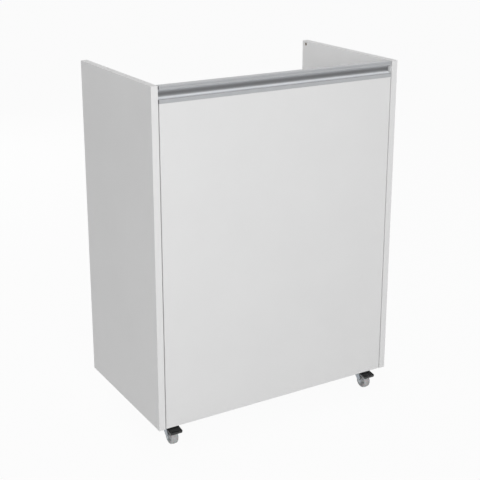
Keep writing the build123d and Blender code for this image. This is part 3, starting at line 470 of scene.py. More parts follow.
def placed_group(tree, name, inputs):
    """Put a group into a material with its own values, and return its outputs."""
    return put(tree, "ShaderNodeGroup", inputs, node_tree=bpy.data.node_groups[name]).outputs


def send_noise(group, out, contrast, sockets):
    """Noise as a height, and as a shade that departs from one by the contrast."""
    noise = put(group, "ShaderNodeTexNoise", sockets).outputs[0]
    centred = calculate(group, "SUBTRACT", noise, 0.5)
    shade = calculate(group, "MULTIPLY_ADD", centred, contrast, 1.0)
    connect(group, out, {"Height": noise, "Shade": shade})


def build_grain_group():
    """Fine grain: noise of a given size in metres, as a height and as a shade around one."""
    group, given, out = new_group(
        "Fine grain", {"Place": "V", "Size": "F", "Contrast": "F"}, {"Height": "F", "Shade": "F"})
    scale = calculate(group, "DIVIDE", 1.0, given["Size"])
    send_noise(group, out, given["Contrast"], {"Vector": given["Place"], "Scale": scale, "Detail": 3.0})


def build_cloud_group():
    """Cloudy tone: wide soft patches that run from a low to a high value."""
    group, given, out = new_group(
        "Cloudy tone", {"Place": "V", "Size": "F", "Low": "F", "High": "F"}, {"Value": "F"})
    scale = calculate(group, "DIVIDE", 1.0, given["Size"])
    sockets = {"Vector": given["Place"], "Scale": scale, "Detail": 4.0, "Roughness": 0.6}
    noise = put(group, "ShaderNodeTexNoise", sockets).outputs[0]
    connect(group, out, {"Value": ramp(group, noise, 0.32, 0.68, given["Low"], given["High"])})


def build_line_group():
    """Drawn lines: noise pressed flat across the direction in which metal was drawn or extruded."""
    group, given, out = new_group(
        "Drawn lines", {"Place": "V", "Stretch": "V", "Contrast": "F"}, {"Height": "F", "Shade": "F"})
    pressed = calculate_vector(group, "MULTIPLY", given["Place"], given["Stretch"])
    send_noise(group, out, given["Contrast"], {"Vector": pressed, "Scale": 1.0, "Detail": 4.0})


def build_board_group():
    """Board layers, from the depth below the faces of a board's box.

    Depth along each axis is half the box less the distance from its middle. The core shows
    where all three depths exceed the skin. The band is the strip of a broad face that lies
    nearer to its border than the band's thickness, and a fine line divides it from the face.
    """
    group, given, out = new_group(
        "Board layers",
        {"Place": "V", "Middle": "V", "Half size": "V", "Thin axis": "V",
         "Band": "F", "Line": "F", "Skin": "F"},
        {"Core": "F", "Band": "F", "Line": "F"})
    offset = calculate_vector(group, "SUBTRACT", given["Place"], given["Middle"])
    offset = calculate_vector(group, "ABSOLUTE", offset)
    depth = calculate_vector(group, "SUBTRACT", given["Half size"], offset)
    inner = calculate(group, "MULTIPLY", given["Skin"], 1.3)
    core = ramp(group, least(group, depth), given["Skin"], inner)
    border = least(group, calculate_vector(group, "ADD", depth, given["Thin axis"]))
    band = calculate(group, "LESS_THAN", border, given["Band"])
    away = calculate(group, "ABSOLUTE", calculate(group, "SUBTRACT", border, given["Band"]))
    line = ramp(group, calculate(group, "DIVIDE", away, given["Line"]), 0.3, 0.6, 1.0, 0.0)
    connect(group, out, {"Core": core, "Band": band, "Line": line})


def build_chip_group():
    """Chipboard: flat flakes and dust of several browns around a given colour."""
    group, given, out = new_group("Chipboard", {"Place": "V", "Colour": "C"}, {"Colour": "C", "Height": "F"})
    flat = calculate_vector(group, "MULTIPLY", given["Place"], (1.0, 1.0, 2.5))
    cells = put(group, "ShaderNodeTexVoronoi", {"Vector": flat, "Scale": 700.0})
    tone = put(group, "ShaderNodeSeparateColor", {0: cells.outputs["Color"]}).outputs[0]
    dark = calculate_vector(group, "MULTIPLY", given["Colour"], (0.55, 0.5, 0.45))
    connect(group, out, {"Colour": mix_colour(group, tone, dark, given["Colour"]), "Height": tone})


def build_dust_group():
    """Settled dust: a thin patchy film on faces that look up, strongest where they are level."""
    group, given, out = new_group("Settled dust", {"Place": "V", "Amount": "F"}, {"Mask": "F"})
    facing = put(group, "ShaderNodeNewGeometry").outputs["Normal"]
    level = ramp(group, component(group, facing, 2), 0.4, 1.0)
    sockets = {"Vector": given["Place"], "Scale": 90.0, "Detail": 6.0}
    patch = ramp(group, put(group, "ShaderNodeTexNoise", sockets).outputs[0], 0.35, 0.7)
    mask = calculate(group, "MULTIPLY", calculate(group, "MULTIPLY", level, patch), given["Amount"])
    connect(group, out, {"Mask": mask})


def build_groups():
    build_grain_group()
    build_cloud_group()
    build_line_group()
    build_board_group()
    build_chip_group()
    build_dust_group()


# ---------------------------------------------------------------- materials
def start_material(name, constants):
    """Principled material with its constant sockets set.

    Returns the material, its tree, its shader and the socket of object coordinates.
    """
    material = bpy.data.materials.new(f"finish {name}")
    material.use_nodes = True
    tree = material.node_tree
    shader = tree.nodes["Principled BSDF"]
    for socket, value in constants.items():
        shader.inputs[socket].default_value = value
    place = put(tree, "ShaderNodeTexCoord").outputs["Object"]
    return material, tree, shader, place


def shade_colour(tree, base, *shades):
    """Multiply a colour by one or more shades."""
    result = base
    for value in shades:
        grey = put(tree, "ShaderNodeCombineXYZ", {0: value, 1: value, 2: value}).outputs[0]
        result = calculate_vector(tree, "MULTIPLY", result, grey)
    return result


def add_bump(tree, shader, height, strength, distance):
    """Feed a height through a bump to the shader's normal."""
    bump = put(tree, "ShaderNodeBump", {"Height": height, "Strength": strength, "Distance": distance})
    tree.links.new(bump.outputs[0], shader.inputs["Normal"])


def board_material(node, finish, layers):
    """White melamine on chipboard, with the edge band and core placed from the board's own box."""
    low, high = corners(node)
    half = (high - low) / 2
    thin = np.where(half == half.min(), 1.0, 0.0)
    material, tree, shader, place = start_material(
        f"white_board {node}", {"Specular IOR Level": 0.45, "Coat Roughness": 0.25})
    shown = placed_group(tree, "Board layers", {
        "Place": place, "Middle": (low + high) / 2, "Half size": half, "Thin axis": thin,
        "Band": layers.band, "Line": layers.joint_line, "Skin": layers.skin})
    pearl = placed_group(tree, "Fine grain", {"Place": place, "Size": 1.1 * MM, "Contrast": 0.035})
    cloud = placed_group(tree, "Cloudy tone", {
        "Place": place, "Size": 0.16, "Low": 0.988, "High": 1.008})["Value"]
    chips = placed_group(tree, "Chipboard", {"Place": place, "Colour": rgba(finish.core)})
    dust = placed_group(tree, "Settled dust", {"Place": place, "Amount": 0.10})["Mask"]
    face = mix_colour(tree, shown["Band"], rgba(finish.board), rgba(finish.board_edge))
    face = shade_colour(tree, face, pearl["Shade"], cloud)
    face = mix_colour(tree, calculate(tree, "MULTIPLY", shown["Line"], 0.30), face, JOINT_SHADE)
    face = mix_colour(tree, dust, face, BOARD_DUST)
    face = mix_colour(tree, shown["Core"], face, chips["Colour"])
    rough = finish.board_roughness
    smear = placed_group(tree, "Cloudy tone", {
        "Place": place, "Size": 0.09, "Low": rough - 0.04, "High": rough + 0.05})
    rough = calculate(tree, "MULTIPLY_ADD", shown["Core"], 0.45, smear["Value"], clamp=True)
    connect(tree, shader, {"Base Color": face, "Roughness": rough})
    relief = calculate(tree, "MULTIPLY_ADD", shown["Core"], chips["Height"], pearl["Height"])
    add_bump(tree, shader, relief, 0.10, 0.12 * MM)
    return material


def hardboard_material(finish):
    """Lacquered hardboard: faint fibres under a matt white film, brown at its edges."""
    low, high = corners("back_panel")
    material, tree, shader, place = start_material("white_hardboard", {"Specular IOR Level": 0.35})
    shown = placed_group(tree, "Board layers", {
        "Place": place, "Middle": (low + high) / 2, "Half size": (high - low) / 2, "Thin axis": BACKWARD,
        "Band": 0.05 * MM, "Line": 0.01 * MM, "Skin": 0.2 * MM})
    fibre = placed_group(tree, "Fine grain", {"Place": place, "Size": 2.2 * MM, "Contrast": 0.10})
    cloud = placed_group(tree, "Cloudy tone", {
        "Place": place, "Size": 0.12, "Low": 0.97, "High": 1.01})["Value"]
    face = shade_colour(tree, tuple(finish.hardboard), fibre["Shade"], cloud)
    face = mix_colour(tree, shown["Core"], face, HARDBOARD_CORE)
    rough = placed_group(tree, "Cloudy tone", {
        "Place": place, "Size": 0.07, "Low": 0.52, "High": 0.64})["Value"]
    connect(tree, shader, {"Base Color": face, "Roughness": rough})
    add_bump(tree, shader, fibre["Height"], 0.22, 0.25 * MM)
    return material


def aluminium_material(finish):
    """Satin anodised aluminium: fine die lines along the extrusion, with painted shade and painted highlight
    across the groove's height.
    """
    material, tree, shader, place = start_material("profile_aluminium", {"Metallic": 0.32})
    lines = placed_group(tree, "Drawn lines", {
        "Place": place, "Stretch": (3.0, 2600.0, 2600.0), "Contrast": 0.11})
    broad = placed_group(tree, "Drawn lines", {
        "Place": place, "Stretch": (1.2, 420.0, 420.0), "Contrast": 0.05})
    cloud = placed_group(tree, "Cloudy tone", {
        "Place": place, "Size": 0.05, "Low": 0.98, "High": 1.02})["Value"]
    # painted shade and painted highlight: the groove's height picks a factor on the colour, dark in the middle of
    # the groove and bright near its edges
    groove = put(tree, "ShaderNodeUVMap", uv_map="Groove").outputs[0]
    painted_groove_light = put(tree, "ShaderNodeFloatCurve", {"Value": component(tree, groove, 1)})
    curve = painted_groove_light.mapping.curves[0].points
    curve[0].location, curve[1].location = GROOVE_PAINTED_LIGHT[0], GROOVE_PAINTED_LIGHT[-1]
    for height, tone in GROOVE_PAINTED_LIGHT[1:-1]:
        curve.new(height, tone)
    painted_groove_light.mapping.update()
    # the base colour carries the groove's painted shade and painted highlight
    base = shade_colour(tree, tuple(finish.aluminium), lines["Shade"], broad["Shade"], cloud, painted_groove_light.outputs[0])
    rough = finish.aluminium_roughness
    rough = ramp(tree, lines["Height"], 0.25, 0.75, rough - 0.05, rough + 0.08)
    connect(tree, shader, {"Base Color": base, "Roughness": rough})
    add_bump(tree, shader, lines["Height"], 0.18, 0.04 * MM)
    return material


def plated_material(name, base, roughness, patch_size, contrast):
    """Plated steel: cloudy crystal patches over fine rolling lines, with a slight cool and warm drift."""
    material, tree, shader, place = start_material(name, {"Metallic": 1.0})
    cloud = placed_group(tree, "Cloudy tone", {
        "Place": place, "Size": patch_size, "Low": 1.0 - contrast, "High": 1.0 + contrast})["Value"]
    grain = placed_group(tree, "Fine grain", {"Place": place, "Size": 0.5 * MM, "Contrast": 0.14})
    tint = placed_group(tree, "Cloudy tone", {
        "Place": place, "Size": patch_size * 1.7, "Low": 0.0, "High": 1.0})["Value"]
    drift = mix_colour(tree, tint, COOL_PLATING, WARM_PLATING)
    tone = calculate_vector(tree, "MULTIPLY", drift, tuple(base))
    tone = shade_colour(tree, tone, cloud, grain["Shade"])
    rough = ramp(tree, grain["Height"], 0.3, 0.7, roughness - 0.07, roughness + 0.09)
    connect(tree, shader, {"Base Color": tone, "Roughness": rough})
    add_bump(tree, shader, grain["Height"], 0.12, 0.05 * MM)
    return material


def moulded_material(name, base, roughness, grain_size, relief, dust=0.0, **constants):
    """Moulded plastic with an even fine grain, slight streaks and a film of dust."""
    material, tree, shader, place = start_material(name, constants)
    grain = placed_group(tree, "Fine grain", {"Place": place, "Size": grain_size, "Contrast": 0.10})
    streak = placed_group(tree, "Cloudy tone", {
        "Place": place, "Size": 9.0 * MM, "Low": 0.95, "High": 1.05})["Value"]
    film = placed_group(tree, "Settled dust", {"Place": place, "Amount": dust})["Mask"]
    tone = mix_colour(tree, film, shade_colour(tree, tuple(base), grain["Shade"], streak), PLASTIC_DUST)
    rough = ramp(tree, grain["Height"], 0.3, 0.7, roughness - 0.06, roughness + 0.08)
    connect(tree, shader, {"Base Color": tone, "Roughness": rough})
    add_bump(tree, shader, grain["Height"], relief, 0.08 * MM)
    return material


def tyre_material(finish):
    """Soft grey tread: scuffed and dusty where it rolls, cleaner on its sides."""
    material, tree, shader, place = start_material(
        "grey_tyre", {"Specular IOR Level": 0.5, "Subsurface Weight": 0.12, "Subsurface Scale": 0.004})
    grain = placed_group(tree, "Fine grain", {"Place": place, "Size": 0.9 * MM, "Contrast": 0.12})
    cloud = placed_group(tree, "Cloudy tone", {
        "Place": place, "Size": 7.0 * MM, "Low": 0.86, "High": 1.10})["Value"]
    facing = put(tree, "ShaderNodeNewGeometry").outputs["Normal"]
    sideways = calculate(tree, "ABSOLUTE", component(tree, facing, 0))
    rolled = ramp(tree, sideways, 0.15, 0.55, 1.0, 0.0)
    specks = ramp(tree, grain["Height"], 0.45, 0.75)
    scuffed = calculate(tree, "MULTIPLY", calculate(tree, "MULTIPLY", rolled, specks), 0.35)
    tone = mix_colour(tree, scuffed, shade_colour(tree, tuple(finish.tyre), grain["Shade"], cloud), TREAD_DIRT)
    rough = ramp(tree, rolled, 0.0, 1.0, 0.38, 0.60)
    connect(tree, shader, {"Base Color": tone, "Roughness": rough})
    add_bump(tree, shader, grain["Height"], 0.25, 0.10 * MM)
    return material


def beech_material(finish):
    """Beech: pale lengthwise fibres with short dark flecks."""
    material, tree, shader, place = start_material("beech", {"Specular IOR Level": 0.3})
    fibre = placed_group(tree, "Drawn lines", {
        "Place": place, "Stretch": (60.0, 1400.0, 1400.0), "Contrast": 0.5})
    fleck = placed_group(tree, "Drawn lines", {
        "Place": place, "Stretch": (400.0, 2500.0, 2500.0), "Contrast": 0.3})
    tone = shade_colour(tree, tuple(finish.beech), fibre["Shade"], fleck["Shade"])
    rough = ramp(tree, fibre["Height"], 0.3, 0.7, 0.55, 0.75)
    connect(tree, shader, {"Base Color": tone, "Roughness": rough})
    add_bump(tree, shader, fibre["Height"], 0.3, 0.1 * MM)
    return material


def build_materials(finish):
    """Materials of everything but the boards, by the name of their slot in the record."""
    hardboard_material(finish)
    aluminium_material(finish)
    plated_material("zinc_steel", finish.zinc, 0.38, 6.0 * MM, 0.10)
    plated_material("zinc_cast", finish.cast_zinc, 0.52, 3.0 * MM, 0.14)
    plated_material("nickel_steel", finish.nickel, 0.24, 12.0 * MM, 0.05)
    plated_material("bearing_steel", finish.bearing, 0.16, 4.0 * MM, 0.04)
    moulded_material("grey_plastic", finish.wheel, 0.42, 0.8 * MM, 0.15, 0.15, **{"Specular IOR Level": 0.5})
    moulded_material("black_plastic", finish.pedal, 0.34, 0.6 * MM, 0.35, 0.02, **{"Specular IOR Level": 0.5})
    moulded_material("white_plastic", finish.fitting, 0.45, 0.9 * MM, 0.15, 0.05)
    moulded_material("magnet", finish.ferrite, 0.62, 0.35 * MM, 0.5, 0.05)
    tyre_material(finish)
    beech_material(finish)


# ---------------------------------------------------------------- operators
class DressBoards(bpy.types.Operator):
    """Give each board its melamine, edge bands and chipboard core"""

    bl_idname = "cabinet.dress_boards"
    bl_label = "Dress boards"

    def execute(self, context):
        scene = context.scene
        for node in frame["nodes"]:
            if slot_of(node) == "white_board":
                wanted = board_material(node, scene.cabinet_finish, scene.board_layers)
                frame["nodes"][node].material_slots[0].material = wanted
        return {"FINISHED"}


class DressFittings(bpy.types.Operator):
    """Give every other node of the frame the material of its slot"""

    bl_idname = "cabinet.dress_fittings"
    bl_label = "Dress fittings"

    def execute(self, context):
        build_materials(context.scene.cabinet_finish)
        for node, thing in frame["nodes"].items():
            if slot_of(node) != "white_board":
                thing.material_slots[0].material = material_of(node)
        return {"FINISHED"}


class MakeFingerPull(bpy.types.Operator):
    """Extrude the hollow aluminium finger pull along the top of the door"""

    bl_idname = "cabinet.make_finger_pull"
    bl_label = "Make finger pull"

    def execute(self, context):
        shape = context.scene.finger_pull_shape
        low, high = corners("handle_profile")
        top, bottom = high[2], low[2] + shape.fin_length
        front, back = low[1], high[1]
        reach = (top - bottom - shape.upper_lip - shape.lower_lip) / 2
        radius = (reach**2 + shape.groove**2) / (2 * shape.groove)
        centre = (front + shape.groove - radius, top - shape.upper_lip - reach)
        spread = math.degrees(math.atan2(reach, front - centre[0]))
        groove = arc(centre, radius, -spread, spread, 41)
        line = top - shape.line_drop
        fin_back = (front + back + shape.fin) / 2
        fin_front = fin_back - shape.fin
        outline = np.concatenate((
            groove,
            [(front, line - shape.line), (front + shape.line, line), (front, line + shape.line)],
            [(front, top), (back, top), (back, bottom), (fin_back, bottom)],
            [(fin_back, bottom - shape.fin_length), (fin_front, bottom - shape.fin_length)],
            [(fin_front, bottom), (front, bottom)],
        ))
        chambers = [self.chamber(shape, centre, radius, front, back, end, sign)
                    for end, sign in ((top, 1), (bottom, -1))]
        origin = np.zeros(3)
        shell = extruded(origin, [outline, *chambers], RIGHT, low[0], high[0])
        piece = add_piece("finger_pull", [shell], smooth=25.0)
        self.mark_groove(piece.data, centre, radius, reach)
        bevel_edges(piece, shape.edge, 3)
        settle(piece, "handle_profile")
        return {"FINISHED"}

    @staticmethod
    def mark_groove(mesh, centre, radius, reach):
        """Texture coordinate that climbs from 0 to 1 over the groove's height, and is 0 on all other faces; it
        places the groove's painted shade and painted highlight.
        """
        points = np.empty(3 * len(mesh.vertices))
        mesh.vertices.foreach_get("co", points)
        away = points.reshape(-1, 3)[:, 1:] - centre
        on_arc = np.abs(np.hypot(away[:, 0], away[:, 1]) - radius) < 0.01 * MM
        climb = 0.5 + away[:, 1] / (2 * reach)
        corner = np.empty(len(mesh.loops), dtype=int)
        mesh.loops.foreach_get("vertex_index", corner)
        start = np.empty(len(mesh.polygons), dtype=int)
        facing = np.empty(3 * len(mesh.polygons))
        mesh.polygons.foreach_get("loop_start", start)
        mesh.polygons.foreach_get("normal", facing)
        whole = np.logical_and.reduceat(on_arc[corner], start) & (np.abs(facing[::3]) < 0.5)
        sizes = np.diff(np.append(start, len(corner)))
        across = np.where(np.repeat(whole, sizes), climb[corner], 0.0)
        place = np.stack((points.reshape(-1, 3)[corner, 0], across), axis=1)
        mesh.uv_layers.new(name="Groove").uv.foreach_set("vector", place.ravel())

    @staticmethod
    def chamber(shape, centre, radius, front, back, end, sign):
        """Chamber above or below the groove: an arc one wall outside it, closed by the straight walls."""
        outer = radius + shape.wall
        inner_front, inner_back = front + shape.wall, back - shape.back_wall
        far = end - sign * shape.wall
        level = (np.array((inner_front, inner_back)) - centre[0]) / outer
        start, stop = np.degrees(np.arccos(np.clip(level, -1.0, 1.0)))
        least_stop, foot = 4.0, 0.5 * MM
        wall = arc(centre, outer, sign * start, sign * max(stop, least_stop), 17)
        straight = [(inner_back, wall[-1, 1] + sign * foot), (inner_back, far), (inner_front, far)]
        return np.concatenate((wall, straight))


class MakeTyres(bpy.types.Operator):
    """Turn the soft tyres"""

    bl_idname = "cabinet.make_tyres"
    bl_label = "Make tyres"

    def execute(self, context):
        shape = context.scene.castor_shape
        for place in ALL_CASTORS:
            node = f"castor_tyre_{place}"
            low, high = corners(node)
            radius, half = (high[2] - low[2]) / 2, (high[0] - low[0]) / 2
            core_low, core_high = corners(f"castor_wheel_{place}")
            inner = (core_high[2] - core_low[2]) / 2
            along, away = self.section(shape, radius, half, inner)
            shell = turned((low + high) / 2, RIGHT, along, away, 96)
            settle(add_piece(f"soft_tyre_{place}", [shell], 50.0), node)
        return {"FINISHED"}

    @staticmethod
    def section(shape, radius, half, inner):
        """Section of a tyre, as distance along the axle and radius.

        The tread falls from its middle with the square of the distance, round shoulders lead
        to sides that lean in, and a fine triangular seam runs along the middle of the tread.
        """
        flat = half - shape.shoulder
        seam_half, inside, outside = 0.3 * MM, 0.2 * MM, 0.4 * MM
        lean, foot, sill = 0.15 * MM, 0.9 * MM, 0.7 * MM
        across = np.concatenate((np.linspace(-flat, -outside, 7), (-inside, 0.0, inside),
                                 np.linspace(outside, flat, 7)))
        ridge = shape.seam * np.clip(1 - np.abs(across) / seam_half, 0, 1)
        tread = radius - shape.seam + ridge - shape.crown * (across / flat) ** 2
        low_edge = radius - shape.seam - shape.crown
        right = arc((flat, low_edge - shape.shoulder), shape.shoulder, 86, 0, 9)
        side = [(half - lean, inner + sill), (half - foot, inner)]
        right = np.concatenate((right, side))
        left = right[::-1] * (-1, 1)
        section = np.concatenate((np.stack((across, tread), axis=1), right, left))
        return section[:, 0], section[:, 1]


class MakeWheels(bpy.types.Operator):
    """Mould the ribbed wheel cores"""

    bl_idname = "cabinet.make_wheels"
    bl_label = "Make wheels"

    def execute(self, context):
        shape = context.scene.castor_shape
        for place in ALL_CASTORS:
            node = f"castor_wheel_{place}"
            low, high = corners(node)
            rim, half = (high[2] - low[2]) / 2, (high[0] - low[0]) / 2
            along, away = self.section(shape, rim, half)
            shell = turned((low + high) / 2, RIGHT, along, away, 16 * shape.ribs)
            settle(add_piece(f"ribbed_wheel_{place}", [shell], 35.0), node)
        return {"FINISHED"}

    @staticmethod
    def section(shape, rim, half):
        """Section of a wheel, as distance along the axle and radius, for every angle.

        One side runs from the bore over the hub, down to the web, up the inside of the rim
        and over its edge. On the web, ribs rise at even angles: their height falls to nothing
        over a short flank, by the distance along the circle from the middle of each rib.
        """
        bore, hub, web, rim_half = 2.6 * MM, 5.5 * MM, 2.5 * MM, 7.0 * MM
        inside = rim - 2.0 * MM
        hub_edge = arc((half - 0.5 * MM, hub - 0.5 * MM), 0.5 * MM, 0, 90, 5)
        web_line = np.stack((np.full(9, web), np.linspace(hub + 0.5 * MM, inside - 0.4 * MM, 9)), axis=1)
        rim_edge = arc((rim_half - 0.5 * MM, rim - 0.5 * MM), 0.5 * MM, 0, 90, 4)
        side = np.concatenate((
            [(half, bore)], hub_edge, [(web + 0.6 * MM, hub + 0.05 * MM)], web_line,
            [(web + 0.5 * MM, inside)], [(rim_half, inside + 0.5 * MM)], rim_edge))
        section = np.concatenate((side, side[::-1] * (-1, 1)))
        sectors = 16 * shape.ribs
        angle = 2 * np.pi * np.arange(sectors) / sectors
        from_rib = (angle * shape.ribs / (2 * np.pi) + 0.5) % 1 - 0.5
        distance = np.abs(from_rib)[None, :] * 2 * np.pi / shape.ribs * section[:, 1:]
        height = np.clip((shape.rib_width / 2 - distance) / (0.35 * MM) + 0.5, 0, 1)
        on_web = (np.abs(section[:, :1]) < web + 0.1 * MM) & (section[:, 1:] > hub + 0.2 * MM)
        raised = height * on_web * 3.0 * MM
        return section[:, :1] + np.sign(section[:, :1]) * raised, section[:, 1:]


class MakeForks(bpy.types.Operator):
    """Press and bend the forks and their round crowns"""

    bl_idname = "cabinet.make_forks"
    bl_label = "Make forks"

    def execute(self, context):
        shape = context.scene.castor_shape
        for place in ALL_CASTORS:
            node = f"castor_fork_{place}"
            swivel = joint_place(f"swivel_{place}")
            axle = middle(f"castor_axle_{place}")
            low, high = corners(node)
            axle_low, axle_high = corners(f"castor_axle_{place}")
            outer = (axle_high[0] - axle_low[0]) / 2 - shape.head
            shell = self.bent_sheet(shape, swivel, axle, outer, low, high)
            sheet = add_piece(f"fork_sheet_{place}", [shell], 60.0)
            thick = sheet.modifiers.new("Sheet", "SOLIDIFY")
            thick.thickness = shape.sheet
            thick.offset = 0.0
            bevel_edges(sheet, 0.25 * MM)
            settle(sheet, node)
            crown = add_piece(f"fork_crown_{place}", [self.crown(shape, swivel, high)], 35.0)
            settle(crown, node)
        return {"FINISHED"}

    @staticmethod
    def tangent(corner, centre, radius, side):
        """Point where a line from a corner touches a circle.

        It lies at the angle of the corner, turned by acos(radius / distance).
        """
        away = corner - centre
        turn = math.acos(radius / np.linalg.norm(away))
        angle = math.atan2(away[1], away[0]) + side * turn
        return centre + radius * np.array((math.cos(angle), math.sin(angle)))

    @classmethod
    def bent_sheet(cls, shape, swivel, axle, outer, low, high):
        """Middle surface of the bent fork.

        Across, it follows an upturned U: up one cheek, round a bend, over the crown and down.
        Along the cabinet's depth, each height spans from the front to the rear of the cheek's
        outline, which is a circle round the axle and two straight edges that touch it.
        """
        half, boss = outer - shape.sheet / 2, axle[2] - low[2]
        crown = high[2] - shape.sheet / 2
        skirt, front_reach, rear_reach = 3.8 * MM, 13.0 * MM, 11.0 * MM
        shoulder = high[2] - skirt
        front, rear = swivel[1] - front_reach, swivel[1] + rear_reach
        centre = np.array((axle[1], axle[2]))
        front_touch = cls.tangent(np.array((front, shoulder)), centre, boss, 1)
        rear_touch = cls.tangent(np.array((rear, shoulder)), centre, boss, -1)
        bend = shape.bend - shape.sheet / 2
        lower = axle[2] - boss * np.cos(np.radians(np.linspace(0, 90, 13)))
        cheek = np.concatenate((lower, np.linspace(axle[2], crown - bend, 15)[1:]))
        turn = arc((half - bend, crown - bend), bend, 0, 90, 7)[1:]
        height = np.concatenate((cheek, turn[:, 1], turn[::-1, 1], cheek[::-1]))
        upright = np.full(len(cheek), half)
        sideways = np.concatenate((upright, turn[:, 0], -turn[::-1, 0], -upright))
        inside = np.sqrt(np.clip(boss**2 - (height - axle[2]) ** 2, 0, None))
        front_line = np.interp(height, (front_touch[1], shoulder), (front_touch[0], front))
        rear_line = np.interp(height, (rear_touch[1], shoulder), (rear_touch[0], rear))
        front_edge = np.where(height < front_touch[1], axle[1] - inside, front_line)
        rear_edge = np.where(height < rear_touch[1], axle[1] + inside, rear_line)
        step = np.linspace(0, 1, 9)
        y = front_edge[:, None] + (rear_edge - front_edge)[:, None] * step
        x = np.broadcast_to((swivel[0] + sideways)[:, None], y.shape)
        z = np.broadcast_to(height[:, None], y.shape)
        return np.stack((x, y, z), axis=2).reshape(-1, 3), quads(*y.shape)

    @staticmethod
    def crown(shape, swivel, high):
        """Round crown: a disc with a rounded rim, a bore for the kingpin and the race's lower groove."""
        radius, bore, circle = 16.0 * MM, 3.1 * MM, 10.5 * MM
        top, under = high[2], high[2] - shape.sheet
        rim = arc((radius - shape.sheet / 2, (top + under) / 2), shape.sheet / 2, -90, 90, 9)
        ball = 1.55 * MM
        lift = 1.1 * MM
        dip = math.degrees(math.acos(lift / ball))
        groove = arc((circle, top + lift), ball, -90 + dip, -90 - dip, 9)
        section = np.concatenate(([(bore, under)], rim, groove, [(bore, top)]))
        return turned(np.array((swivel[0], swivel[1], 0.0)), UP, section[:, 1], section[:, 0], 64)


class MakeSwivelHeads(bpy.types.Operator):
    """Soften the castors' top plates and turn the kingpins"""

    bl_idname = "cabinet.make_swivel_heads"
    bl_label = "Make swivel heads"

    def execute(self, context):
        for place in ALL_CASTORS:
            node = f"castor_plate_{place}"
            settle(softened_copy(f"top_plate_{place}", node, 0.3 * MM), node)
        node = "castor_kingpins"
        shells = []
        for low, high in islands(node):
            centre = np.array(((low[0] + high[0]) / 2, (low[1] + high[1]) / 2, 0.0))
            along, away = self.section(low[2], high[2], (high[0] - low[0]) / 2)
            shells.append(turned(centre, UP, along, away, 48, closed=False))
        settle(add_piece("kingpins", shells, 35.0), node)
        return {"FINISHED"}

    @staticmethod
    def section(low, high, radius):
        """Section of a kingpin, as height and radius: a domed head, the shank, and the riveted end above."""
        shank, top_radius, head, top = 3.0 * MM, 4.5 * MM, 1.6 * MM, 1.5 * MM
        edge_down, edge_in = 0.2 * MM, 0.3 * MM
        dome = arc((0.0, 0.0), 1.0, 270, 360, 9)
        under = np.stack((low + head * (1 + dome[:, 1]), radius * dome[:, 0]), axis=1)
        rest = [(low + head, shank), (high - top, shank), (high - top, top_radius),
                (high - edge_down, top_radius), (high, top_radius - edge_in), (high, 0.0)]
        section = np.concatenate((under, rest))
        return section[:, 0], section[:, 1]


class MakeCrossPins(bpy.types.Operator):
    """Turn the domed axles and pedal pins"""

    bl_idname = "cabinet.make_cross_pins"
    bl_label = "Make cross pins"

    def execute(self, context):
        shape = context.scene.castor_shape
        for place in ALL_CASTORS:
            self.rivet(f"axle_rivet_{place}", f"castor_axle_{place}", 2.5 * MM, shape.head)
        for place in BRAKED_CASTORS:
            self.rivet(f"pedal_pin_{place}", f"brake_pin_{place}", 1.5 * MM, shape.pin_head)
        return {"FINISHED"}

    @staticmethod
    def rivet(name, node, shank, head):
        """Rivet turned about its axis: a shank between two heads, each a quarter of an ellipse."""
        low, high = corners(node)
        half, radius = (high[0] - low[0]) / 2, (high[2] - low[2]) / 2
        dome = arc((0.0, 0.0), 1.0, 0, 90, 9)
        one = np.stack((half - head + head * dome[::-1, 1], radius * dome[::-1, 0]), axis=1)
        one = np.concatenate((one, [(half - head, shank)]))
        section = np.concatenate((one, one[::-1] * (-1, 1)))
        shell = turned((low + high) / 2, RIGHT, section[:, 0], section[:, 1], 48, closed=False)
        settle(add_piece(name, [shell], 40.0), node)


